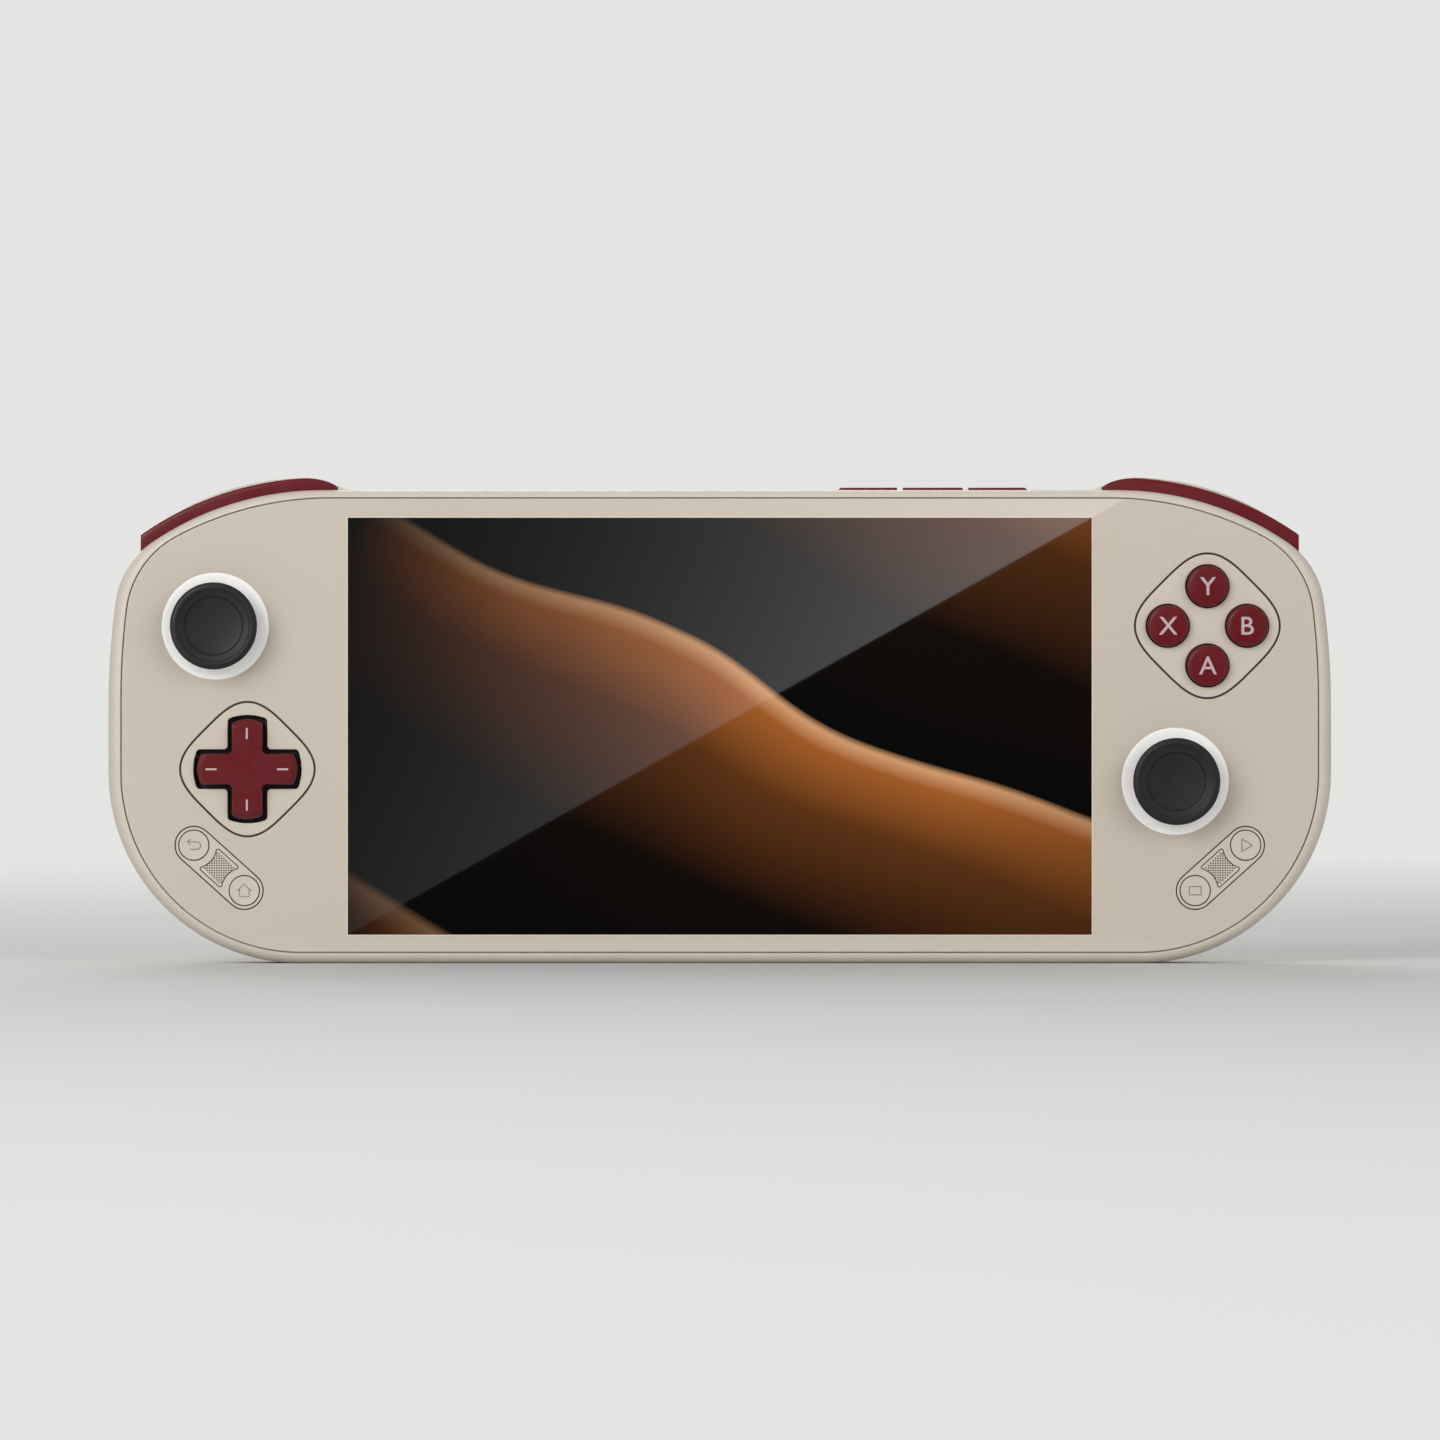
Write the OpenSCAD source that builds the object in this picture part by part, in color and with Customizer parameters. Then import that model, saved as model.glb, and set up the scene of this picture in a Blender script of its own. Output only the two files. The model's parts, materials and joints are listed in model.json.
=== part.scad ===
// Handheld game console: a glass front over a moulded frame, two thumbsticks on gimbals,
// a rocking direction pad, face buttons, menu buttons, bumpers, triggers and top keys.
// Drawn with x to the right, y up the front and z towards the player, then stood on its bottom edge.

/* [Body] */
// Overall width of the body
body_w = 214; // [208:1:224]
// Height of the body from bottom edge to top edge
body_h = 82.8; // [81:0.2:90]
// Thickness of the body from back to glass
body_t = 14; // [13.6:0.2:16]
// Radius of the slow curve down each side
flank_r = 131; // [115:1:150]
// Radius of the tight bend at each shoulder
shoulder_r = 15; // [13:0.5:17]
// Radius of the long curve from the shoulder to the top edge
crown_r = 53; // [50:1:56]
// Radius of the two lower corners
corner_r = 33.5; // [30:0.5:36]
// Wall of the middle frame
frame_wall = 1.6; // [1.4:0.1:1.9]
// Height of the rounded front rim
rim_h = 2.6; // [2:0.1:3.2]
// Width of the rim beside the glass at the sides
rim_side = 2.28; // [2:0.02:2.8]
// Width of the rim above the glass
rim_top = 1.35; // [1.2:0.05:1.8]
// Width of the rim below the glass
rim_bottom = 1.83; // [1.5:0.03:2.4]
// Height of the back cover at its edge
back_h = 4.5; // [4:0.1:5]
// Wall of the back cover
back_wall = 1.4; // [1.2:0.1:1.6]
// Reach of the rounded back edge
back_round = 5; // [4:0.2:6]

/* [Glass and screen] */
// Thickness of the front glass
glass_t = 0.8; // [0.6:0.05:1]
// Gap between the glass and what it meets
glass_gap = 0.12; // [0.08:0.02:0.2]
// Width of the ledge that the glass rests on
ledge_w = 1.2; // [1:0.1:1.3]
// Width of the control area on each side of the screen
side_w = 42; // [41:0.5:46]
// Blank border of the display panel
panel_border = 1.8; // [1.2:0.1:2]
// Thickness of the display panel
panel_t = 1; // [0.8:0.1:1.2]

/* [Thumbsticks] */
// Left stick, distance in from the left side
left_stick_in = 18.84; // [18.4:0.02:20]
// Left stick, distance down from the top edge
left_stick_down = 23.86; // [23.4:0.02:24.2]
// Right stick, distance in from the right side
right_stick_in = 27.43; // [26.6:0.02:28]
// Right stick, share of the way from the menu buttons up to the face buttons
right_stick_share = 0.358; // [0.35:0.002:0.37]
// Diameter of the stick cap
cap_d = 15.2; // [14:0.1:15.6]
// Diameter of the dish in the cap
dish_d = 10.2; // [8:0.1:11]
// Height of the cap above the glass
cap_proud = 5.6; // [5.4:0.1:7]
// Outer diameter of the light ring
ring_d = 18.8; // [18:0.1:19.4]
// Depth of the stick pivot below the glass
pivot_depth = 6.5; // [6.4:0.05:6.8]
// Width of the gimbal housing
base_w = 17.6; // [17.4:0.1:18]
// Diameter of the gimbal pins
gimbal_pin_d = 1.8; // [1.4:0.1:2]
// Diameter of the stick lever
lever_d = 2.3; // [2:0.1:2.4]

/* [Direction pad] */
// Distance in from the left side
dpad_in = 24.47; // [24:0.01:25]
// Share of the way from the menu buttons up to the left stick
dpad_share = 0.4085; // [0.4:0.0005:0.415]
// Span of the cross from tip to tip
dpad_span = 17.5; // [16.5:0.1:17.7]
// Width of an arm of the cross
dpad_arm = 5.56; // [5:0.02:6]
// Gap round the cross
dpad_gap = 0.7; // [0.65:0.05:0.8]
// Inset plate, corner to corner, past the span of the cross
dpad_frame = 5.9; // [5.7:0.1:6.4]
// Height of the cross above the glass
dpad_proud = 1.8; // [1.4:0.1:2.2]

/* [Face buttons] */
// Centre of the group, distance in from the right side
face_in = 21.8; // [21.4:0.1:22.4]
// Centre of the group, distance down from the top edge
face_down = 23.8; // [23.4:0.1:24.2]
// Clear distance between neighbouring buttons
face_space = 2.59; // [2.4:0.01:3]
// Diameter of a face button
face_d = 7.2; // [6.8:0.1:7.4]
// Inset plate, corner to corner, past the span of the buttons
face_frame = 4.16; // [4:0.02:4.6]
// Height of a face button above the glass
face_proud = 1.6; // [1.4:0.1:2]
// Travel of a face button
face_travel = 1; // [0.8:0.1:1]

/* [Menu buttons] */
// Centre of the pair, distance in from the side
pill_in = 19.52; // [19.2:0.02:19.8]
// Centre of the pair, share of the way up the body
pill_share = 0.2016; // [0.198:0.0002:0.206]
// Distance between the two buttons
pill_pitch = 11.87; // [11.5:0.01:12.2]
// Slope of the pair
pill_turn = 42; // [40:1:45]
// Diameter of a menu button
pill_d = 5.13; // [4.8:0.01:5.2]
// Width of the pill shaped inset plate past the button
pill_frame = 1.47; // [1.3:0.01:1.7]
// Height of a menu button above the glass
pill_proud = 0.25; // [0.2:0.05:0.5]
// Travel of the menu buttons and top keys
key_travel = 0.4; // [0.3:0.05:0.45]
// Width of the speaker grille
grille_w = 4.4; // [4:0.1:4.6]
// Spacing of the grille holes
grille_pitch = 0.62; // [0.6:0.02:0.8]
// Side of a grille hole
grille_hole = 0.34; // [0.3:0.02:0.4]

/* [Shoulders] */
// How far a bumper stands out of the body
bumper_proud = 2.3; // [1.8:0.1:2.6]
// Outer end of a bumper, distance in from the side
bumper_out = 5.6; // [5.4:0.1:6.4]
// Inner end of a bumper, distance in from the side
bumper_in = 39.85; // [39:0.05:40.2]
// Depth of a bumper inside the body
bumper_depth = 2.2; // [2:0.1:2.4]
// Diameter of the bumper and trigger pins
shoulder_pin_d = 2; // [1.6:0.1:2.2]
// How far a trigger reaches behind the back
trigger_tail = 2.3; // [1.5:0.1:3]
// How far a trigger stands out of the body
trigger_proud = 1.8; // [1.4:0.1:2.1]

/* [Top keys] */
// End of the last key, distance in from the right side
key_in = 52.9; // [52:0.1:56]
// Length of a key
key_l = 10.5; // [10:0.1:11]
// Gap between neighbouring keys
key_space = 1; // [1:0.1:1.4]
// Width of a key
key_w = 2.6; // [2:0.1:2.8]
// Height of a key above the top edge
key_proud = 0.5; // [0.5:0.05:0.8]

/* [Inside] */
// Thickness of the chassis plate
plate_t = 0.8; // [0.7:0.05:0.9]
// Length of the standoffs below the chassis plate
standoff_h = 3.8; // [3.75:0.05:4]
// Thickness of the circuit boards
board_t = 1; // [0.8:0.1:1.2]
// Distance of the battery in from each side of the screen
battery_in = 19; // [17:0.5:28]
// Thickness of the battery
battery_t = 7.6; // [5:0.1:8.4]
// Side of the square fan housing
fan_w = 32; // [31:0.2:32.4]
// Number of fan blades
fan_blades = 13; // [9:1:15]
// Shank diameter of the screws
screw_d = 1.7; // [1.4:0.1:1.8]

/* [Hidden] */
$fn = 64;
// Working gaps
run_gap = 0.05; // between a pin or lever and its bore
slide_gap = 0.14; // between a button and its hole
rest_gap = 0.2; // between a button's flange and the plate above it
move_gap = 0.3; // between other moving neighbours
fit_gap = 0.15; // between fixed neighbours
cut = 1; // how far a cutter runs past what it cuts
turn_step = 4.5; // degrees of heading between two points of an outline
arc_steps = 6; // steps round a quarter turn of a small corner

// Levels from the front to the back
z_front = body_t / 2;
z_back = -body_t / 2;
z_glass = z_front - glass_t;
z_panel = z_glass - panel_t;
z_plate = z_panel - plate_t;
board_top = z_plate - standoff_h;
board_under = board_top - board_t;
z_pivot = z_front - pivot_depth;
z_part = z_back + back_h;
z_floor = z_back + back_wall;

// Body outlines: half width, bottom, top, shoulder arcs and corner arcs as [radius, end heading]
flank_end = 8;
shoulder_end = 56;
glass_soften = 2;
glass_lean = 6;
body_shape = [
    body_w / 2, 0, body_h,
    [[flank_r, flank_end], [shoulder_r, shoulder_end], [crown_r, 90]],
    [[corner_r, 90]]
];
glass_shape = [
    body_w / 2 - rim_side, rim_bottom, body_h - rim_top,
    [
        [flank_r - 2 * glass_soften, flank_end - 1],
        [shoulder_r + glass_soften, shoulder_end + glass_lean],
        [crown_r + 2 * glass_soften, 90]
    ],
    [[corner_r - (rim_side + rim_bottom) / 2, 90]]
];

// Places of the controls
left_stick_at = [left_stick_in - body_w / 2, body_h - left_stick_down];
face_at = [body_w / 2 - face_in, body_h - face_down];
left_pill_at = [pill_in - body_w / 2, pill_share * body_h];
right_stick_at = [
    body_w / 2 - right_stick_in,
    left_pill_at[1] + right_stick_share * (face_at[1] - left_pill_at[1])
];
dpad_at = [
    dpad_in - body_w / 2,
    left_pill_at[1] + dpad_share * (left_stick_at[1] - left_pill_at[1])
];
plate_corner_r = 5.4;
panel_gap = 0.36;
screen_w = body_w - 2 * side_w;
screen_h = body_h - rim_top - rim_bottom - 2 * (ledge_w + panel_gap + panel_border);
screen_mid = (body_h + rim_bottom - rim_top) / 2;

// Thumbstick gimbal, heights measured from the pivot
click = 0.4;
base_wall = 0.8;
dome_r = base_w / 2 - base_wall - 0.6;
dome_wall = 0.5;
dome_edge = 62; // angle from the lever at which the dome ends
ring_bore = 2 * (sqrt(pow(dome_r, 2) - pow(z_panel - z_pivot, 2)) + 0.48);
base_floor_t = 0.6;
base_top = z_plate - rest_gap - z_pivot;
base_floor = z_floor + 0.9 - z_pivot;
lever_foot = base_floor + base_floor_t + move_gap + click;
arch_r = dome_r - 1.7;
arch_t = 0.9;
arch_w = lever_d + 1.7;
arch_slot = lever_d + 0.5;
rocker_l = 8.8;
rocker_w = 5.8;
rocker_h = 3.2;
hub_w = 3.8;
hub_l = 3.4;
hub_h = 3;
hub_pin_d = 1.4;
pin_reach = base_w / 2 - 0.1;
neck_d = 6;
cap_top = cap_proud + pivot_depth;
cap_under = cap_top - 1.3;
dish_drop = 1.2;
cap_r = cap_d / 2;
socket_top = cap_top - dish_drop - 1.2;
ear_w = 6;
ear_l = 1.6;
ear_t = 0.6;

// Direction pad, carried on a ball
ball_r = 1.2;
ball_z = board_top + 2.3;
dpad_disc_z = ball_z + 0.3;
dpad_disc_t = 0.9;
dpad_disc_r = dpad_span / 2 + 0.25;
dpad_hole_r = dpad_disc_r + 0.6;
dpad_top = z_front + dpad_proud;
dpad_plate_d = dpad_span + dpad_frame;
dpad_pad_r = 1.6;
dpad_pad_out = 6.2;
dpad_pad_h = 1.6;
mat_t = 0.4;
tip_bow = 0.6;
tip_r = 0.7;

// Face and menu buttons
flange_t = 0.8;
flange_w = 0.8;
face_hole_r = face_d / 2 + slide_gap;
face_pitch = (face_d + face_space) / sqrt(2);
face_plate_d = 2 * face_pitch + face_d + face_frame;
face_flange_r = face_d / 2 + flange_w;
face_foot = z_panel - rest_gap - flange_t;
face_turns = [270, 0, 180, 90]; // a, b, x and y round the group
pill_hole_r = pill_d / 2 + slide_gap;
pill_w = pill_d + pill_frame;
pill_flange_r = pill_hole_r + 0.25;
pill_foot = z_panel - 1.8;
pill_plate_r = pill_w / 2;
chimney_w = pill_pitch - 2 * pill_flange_r - 1.36;
chimney_wall = 0.6;
grille_t = 0.6;
speaker_l = 7;
speaker_w = 6;
speaker_shift = -1;
speaker_h = board_under - z_floor - 1.4;

// Shoulder bay behind the front lip, from a heading on the shoulder to a place on the top edge
bay_start = 40;
bay_end_in = bumper_in + 0.3;
floor_d = bumper_depth + 1.7;
floor_t = 1;
bumper_top = z_plate - move_gap;
bumper_low = z_plate - 5.5;
rib_top = bumper_low - move_gap;
rib_t = 1.2;
trigger_top = rib_top - rib_t - move_gap;
trigger_end = z_back - trigger_tail;
bumper_start = bay_start + 4.5;
bumper_round = 4.6;
bumper_pin_in = bumper_in - 2.4;
bumper_pin_d = 1.7; // depth of the bumper pin below the body surface
boss_wall = 0.9;
trigger_pin_d = 1.9; // depth of the trigger pins below the body surface
trigger_pin_drop = 1.1;
lug_start = 53;
lug_end_in = bumper_in - 1.95;
lug_t = 1.6;
trigger_reach = 2.5; // how far a pin enters the trigger

// Top keys
key_z = board_top + 0.2;
key_flange = 0.8;
key_flange_t = 0.9;
key_slant = 1.2;
key_foot = -frame_wall - rest_gap - key_flange_t;
key_count = 3;
key_run = key_count * key_l + (key_count - 1) * key_space;
key_start = body_w / 2 - key_in - key_run;
key_margin = 1.5;

// Inside
cover_inset = 3;
cover_step = 0.12; // how far the back cover's edge stands in from the frame's
side_board_in = 40;
side_board_gap = 5.6;
case_side = [7.5, 40];
case_low = [34, 12];
case_high = [side_w + 3, 8.8];
board_post = [37, 49];
post_d = 3.2;
boss_d = 4.4;
head_d = 3.6;
head_h = 1;
inner_edge = screen_w / 2 - 7;
fin_deep = 4.4;
fan_gap = 0.2;
fan_at = [fan_w / 2 - inner_edge, body_h - cover_inset - move_gap - fin_deep - fan_gap - fan_w / 2];
fan_top = z_plate - 2.6;
fan_h = fan_top - z_floor - 1.8;
fan_d = fan_w - 5;
main_x0 = fan_at[0] + fan_w / 2 + 4;
main_x1 = inner_edge;
main_drop = 5.2;
main_h = 31.6;
main_posts = [[main_x0 + 4, 12.8], [main_x1 - 4, 9.8], [main_x1 - 4, 32.8], [main_x0 + 4, 32.8]];
fan_wall = 0.9;
fan_hub_d = 13;
fan_shaft_d = 2;
fan_port_d = 19;
outlet_w = 24;
fin_pitch = 2;
fin_t = 0.5;
fin_over = 3;
pipe_w = 4.6;
pipe_t = 1.4;
pipe_x = main_x0 + 12.5;
pipe_foot = 26.7;
// Chips beside the pipe's end as [left, right, bottom, top, height], the processor first
chips = [
    [-6, 6, 23.6, 11.6, fan_top - board_top],
    [9, 20, 23.6, 15.6, 1],
    [9, 20, 13.6, 5.6, 1],
    [24, 34, 22, 12, 0.8]
];
port_w = 56;
port_x = 2;
port_y0 = 2.2;
port_h = 9.2;
port_posts = [[-22, 8], [26, 8]];
usb_w = 8.94;
usb_t = 3.26;
usb_l = 7.3;
card_x = 15;
card_rim = 0.8;
card_w = 12.4;
card_t = 1.5;
battery_y0 = 12.6;
battery_z = z_floor + fit_gap;
battery_w = screen_w - 2 * battery_in;
battery_h = min(body_h - main_drop - main_h - 2.4, fan_at[1] - fan_w / 2 - 0.4) - battery_y0;
intake_pitch = 2.9;
intake_w = 1.5;
strip_t = 0.25;
strip_w = 6;
strip_up = 7;
strip_lap = 3;

sand = [0.79, 0.74, 0.67];
burgundy = [0.38, 0.11, 0.13];
black = [0.1, 0.1, 0.1];
pearl = [0.87, 0.86, 0.83];
board_green = [0.09, 0.27, 0.2];
steel = [0.68, 0.69, 0.71];
copper = [0.72, 0.43, 0.28];
rubber = [0.3, 0.3, 0.31];

// Sideways run of a chain of arcs from heading 0 to heading a
function run_x(arcs, a, i = 0, from = 0) =
    i == len(arcs) || a <= from ? 0 :
    arcs[i][0] * (cos(from) - cos(min(a, arcs[i][1]))) + run_x(arcs, a, i + 1, arcs[i][1]);

// Upward run of a chain of arcs from heading 0 to heading a
function run_y(arcs, a, i = 0, from = 0) =
    i == len(arcs) || a <= from ? 0 :
    arcs[i][0] * (sin(min(a, arcs[i][1])) - sin(from)) + run_y(arcs, a, i + 1, arcs[i][1]);

function thinned(arcs, d) = [for (arc = arcs) [arc[0] - d, arc[1]]];
function reversed(list) = [for (i = [len(list) - 1 : -1 : 0]) list[i]];
function mirrored(loop) = [for (p = loop) [-p[0], p[1]]];
function raised(loop, z) = [for (p = loop) [p[0], p[1], z]];
function between(a, b, t) = [for (i = [0 : len(a) - 1]) a[i] + (b[i] - a[i]) * t];
function middle(loop) = [for (k = [0 : 2]) [for (p = loop) p[k]] * [for (p = loop) 1] / len(loop)];

// Headings round a lower corner: a double step last, where it runs into the flat that the part stands on
low_turns = concat([for (a = [0 : turn_step : 90 - 2 * turn_step]) a], [90]);

// Closed outline of a body shape, drawn in by d
function outline(shape, d = 0) = let (
        up = thinned(shape[3], d),
        down = thinned(shape[4], d),
        w = shape[0] - d,
        y_up = shape[2] - d - run_y(up, 90),
        y_down = shape[1] + d + run_y(down, 90),
        top = [for (a = [0 : turn_step : 90]) [w - run_x(up, a), y_up + run_y(up, a)]],
        low = [for (a = low_turns) [w - run_x(down, a), y_down - run_y(down, a)]]
    ) concat(top, mirrored(reversed(top)), mirrored(low), reversed(low));

// Rectangle with round corners, about the origin
function rounded_box(w, h, r) = [
    for (q = [0 : 3], k = [0 : arc_steps])
        let (a = 90 * (q + k / arc_steps))
        [
            (w / 2 - r) * [1, -1, -1, 1][q] + r * cos(a),
            (h / 2 - r) * [1, 1, -1, -1][q] + r * sin(a)
        ]
];

// Square stood on a corner, measured across its round corners
function diamond(across, r) = let (
        side = (across + 2 * r * (sqrt(2) - 1)) / sqrt(2)
    ) [for (p = rounded_box(side, side, r)) [p[0] - p[1], p[0] + p[1]] / sqrt(2)];

// Cross with bowed tips, from half span, half arm width and tip corner radius
function cross(reach, half, r, bow) = [
    for (q = [0 : 3], p = concat(
            [[half + r, -half], [reach - bow - r, -half]],
            [for (k = [1 : arc_steps]) [
                reach - bow + bow * sin(180 * k / (arc_steps + 1)),
                half * (2 * k / (arc_steps + 1) - 1)
            ]],
            [[reach - bow - r, half]]
        ))
        [p[0] * cos(90 * q) - p[1] * sin(90 * q), p[0] * sin(90 * q) + p[1] * cos(90 * q)]
];

// Point on the left shoulder, inset by d: s up to 90 is a heading, past it a run along the top edge
function shoulder(s, d) = let (
        arcs = thinned(body_shape[3], d),
        a = min(s, 90)
    ) [
        d - body_w / 2 + run_x(arcs, a) + max(0, s - 90),
        body_h - d - run_y(arcs, 90) + run_y(arcs, a)
    ];
function station(inset) = 90 + inset - body_w / 2 - shoulder(90, 0)[0];
function stations(s0, s1) = s0 >= 90 ? [s0, s1] : concat(
    [for (k = [0 : 2 * arc_steps]) s0 + (min(s1, 90) - s0) * k / (2 * arc_steps)],
    s1 > 90 ? [s1] : []
);

// Strip along the left shoulder between two insets
function band(d0, d1, s0, s1) = concat(
    [for (s = stations(s0, s1)) shoulder(s, d0)],
    reversed([for (s = stations(s0, s1)) shoulder(s, d1)])
);

bay_end = station(bay_end_in);
lug_out_at = shoulder(lug_start, trigger_pin_d);
lug_in_at = shoulder(station(lug_end_in), trigger_pin_d);
trigger_run = lug_in_at - lug_out_at;
trigger_l = norm(trigger_run);
trigger_slope = atan2(trigger_run[1], trigger_run[0]);
trigger_pin_z = trigger_top - trigger_pin_drop;
bumper_pin_at = shoulder(station(bumper_pin_in), bumper_pin_d);

module upright() { rotate([90, 0, 0]) children(); }
module plate(z0, z1) { translate([0, 0, z0]) linear_extrude(z1 - z0) children(); }
module post(at, d, z0, z1) { translate([at[0], at[1], z0]) cylinder(d = d, h = z1 - z0); }
module both_sides() {
    children();
    mirror([1, 0, 0]) children();
}
module block(x0, x1, y0, y1, z0, z1) { translate([x0, y0, z0]) cube([x1 - x0, y1 - y0, z1 - z0]); }

// Closed skin through rings of points, capped about the middle of each end
module loft(rings) {
    n = len(rings[0]);
    m = len(rings);
    points = concat([for (r = rings) each r], [middle(rings[0]), middle(rings[m - 1])]);
    sides = [
        for (i = [0 : m - 2], j = [0 : n - 1])
            let (a = i * n + j, b = i * n + (j + 1) % n)
            each [[a, a + n, b + n], [a, b + n, b]]
    ];
    ends = [
        for (j = [0 : n - 1])
            let (k = (j + 1) % n)
            each [[m * n, j, k], [m * n + 1, (m - 1) * n + k, (m - 1) * n + j]]
    ];
    polyhedron(points, concat(sides, ends));
}

// Closed skin through rings that lead back to the first
module loft_ring(rings) {
    n = len(rings[0]);
    m = len(rings);
    polyhedron([for (r = rings) each r], [
        for (i = [0 : m - 1], j = [0 : n - 1])
            let (a = i * n + j, b = i * n + (j + 1) % n, c = ((i + 1) % m) * n)
            each [[a, c + j, c + (j + 1) % n], [a, c + (j + 1) % n, b]]
    ]);
}

// Places shared by the pieces that pass through several plates
module at(p) { translate([p[0], p[1], 0]) children(); }
module at_pill(side) { mirror([side, 0, 0]) at(left_pill_at) rotate(-pill_turn) children(); }
module pill_pair() { for (x = [-1, 1]) translate([x * pill_pitch / 2, 0]) children(); }
module face_group() { at(face_at) for (a = face_turns) rotate(a) translate([face_pitch, 0]) children(); }
module fan_corners(reach) {
    for (x = [-1, 1], y = [-1, 1]) at(fan_at + [x, y] * reach) children();
}

// Case screw places, as [x, y]; the upper pair has no board between its posts
side_posts = [for (s = [-1, 1], p = [case_side, case_low]) [s * (body_w / 2 - p[0]), p[1]]];
high_posts = [for (s = [-1, 1]) [s * (body_w / 2 - case_high[0]), body_h - case_high[1]]];
board_posts = [for (s = [-1, 1]) [s * (body_w / 2 - board_post[0]), board_post[1]]];
main_post_at = [for (p = main_posts) [p[0], body_h - p[1]]];

// Front glass with openings for every control
module front_glass() {
    color(sand) plate(z_glass, z_front) difference() {
        polygon(outline(glass_shape, glass_gap));
        at(left_stick_at) circle(d = ring_d + 2 * glass_gap);
        at(right_stick_at) circle(d = ring_d + 2 * glass_gap);
        at(dpad_at) polygon(diamond(dpad_plate_d, plate_corner_r));
        at(face_at) polygon(diamond(face_plate_d, plate_corner_r));
        for (side = [0, 1])
            at_pill(side) polygon(rounded_box(pill_pitch + pill_w, pill_w, pill_plate_r));
    }
}

module display_panel() {
    w = screen_w + 2 * panel_border;
    h = screen_h + 2 * panel_border;
    color(black) plate(z_panel, z_glass)
        at([0, screen_mid]) polygon(rounded_box(w, h, panel_border));
}

// Ring of the middle frame, with its rounded rim and the ledge for the glass
frame_rings = let (
        body = outline(body_shape),
        seam = outline(glass_shape),
        ledge = outline(glass_shape, ledge_w),
        inner = outline(body_shape, frame_wall)
    ) concat(
        [raised(body, z_part)],
        [
            for (k = [0 : 5])
                let (a = 18 * k)
                raised(
                    [for (j = [0 : len(body) - 1]) between(body[j], seam[j], 1 - cos(a))],
                    z_front - rim_h + rim_h * sin(a)
                )
        ],
        [raised(seam, z_glass), raised(ledge, z_glass), raised(ledge, z_panel)],
        [raised(inner, z_panel), raised(inner, z_part)]
    );

module middle_frame() {
    usb_z = board_top + usb_t / 2;
    color(sand) difference() {
        loft_ring(frame_rings);
        both_sides() plate(z_part - cut, z_plate)
            polygon(band(-2 * cut, frame_wall + cut, bay_start, bay_end));
        for (k = [0 : key_count - 1])
            key_place(k) block(
                -slide_gap, key_l + slide_gap, -frame_wall - 2 * cut, cut,
                -key_w / 2 - slide_gap, key_w / 2 + slide_gap
            );
        for (x = [-outlet_w / 2 + 1 : 3 : outlet_w / 2 - 1])
            block(
                fan_at[0] + x - 0.9, fan_at[0] + x + 0.9, body_h - frame_wall - 2 * cut, body_h + cut,
                z_part + 0.8, fan_top - 0.4
            );
        translate([0, 0, usb_z]) rotate([90, 0, 0])
            plate(-frame_wall - cut, cut)
            polygon(rounded_box(usb_w + 2 * fit_gap, usb_t + 2 * fit_gap, usb_t / 2 + fit_gap));
        block(
            card_x - card_w / 2, card_x + card_w / 2, -cut, frame_wall + cut,
            board_top + fit_gap, board_top + fit_gap + card_t
        );
    }
}

// Back shell with screw posts, fan intake and open shoulders
module back_cover() {
    body = outline(body_shape, cover_step);
    in = outline(body_shape, back_round);
    rings = concat(
        [
            for (k = [0 : 6])
                let (a = 90 - 15 * k)
                raised(
                    [for (j = [0 : len(body) - 1]) between(body[j], in[j], 1 - cos(a))],
                    z_part - back_h * sin(a)
                )
        ]
    );
    color(sand) difference() {
        union() {
            difference() {
                loft(rings);
                plate(z_floor, z_part + cut) polygon(outline(body_shape, cover_inset));
            }
            for (p = side_posts) post(p, boss_d, z_floor - back_wall / 2, board_under);
            for (p = high_posts) post(p, boss_d, z_floor - back_wall / 2, board_top);
        }
        for (p = concat(side_posts, high_posts)) {
            post(p, screw_d + 2 * fit_gap, z_back - cut, board_top + cut);
            post(p, head_d + 2 * fit_gap, z_back - cut, z_back + head_h + fit_gap);
        }
        both_sides() plate(z_back - cut, z_part + cut)
            polygon(band(-2 * cut, floor_d + floor_t + fit_gap, bay_start - 1, bay_end + fit_gap));
        for (y = [-3 : 3]) {
            slot_l = 2 * sqrt(pow(fan_port_d / 2 + 1, 2) - pow(y * intake_pitch, 2));
            at(fan_at + [0, y * intake_pitch]) plate(z_back - cut, z_floor + cut)
                polygon(rounded_box(slot_l, intake_w, intake_w / 2 - 0.01));
        }
    }
}

// Plate behind the screen that carries the boards on its standoffs
module chassis_plate() {
    long_posts = concat(side_posts, high_posts, board_posts, main_post_at, port_posts);
    hole_d = screw_d + 2 * run_gap;
    color(steel) union() {
        plate(z_plate, z_panel) difference() {
            polygon(outline(body_shape, frame_wall + fit_gap));
            at(left_stick_at) circle(d = ring_bore + 2.6);
            at(right_stick_at) circle(d = ring_bore + 2.6);
            at(dpad_at) circle(r = dpad_hole_r);
            face_group() circle(r = face_flange_r + move_gap);
            for (side = [0, 1])
                at_pill(side) {
                    pill_pair() circle(r = pill_flange_r + move_gap);
                    square(chimney_w + 2 * fit_gap, center = true);
                }
        }
        difference() {
            for (p = long_posts) post(p, post_d, board_top, z_plate);
            for (p = long_posts) post(p, hole_d, board_top - cut, z_plate - 0.5);
        }
        fan_corners(fan_w / 2 - 2.5) translate([0, 0, fan_top]) cylinder(d = post_d, h = z_plate - fan_top);
    }
}

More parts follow.
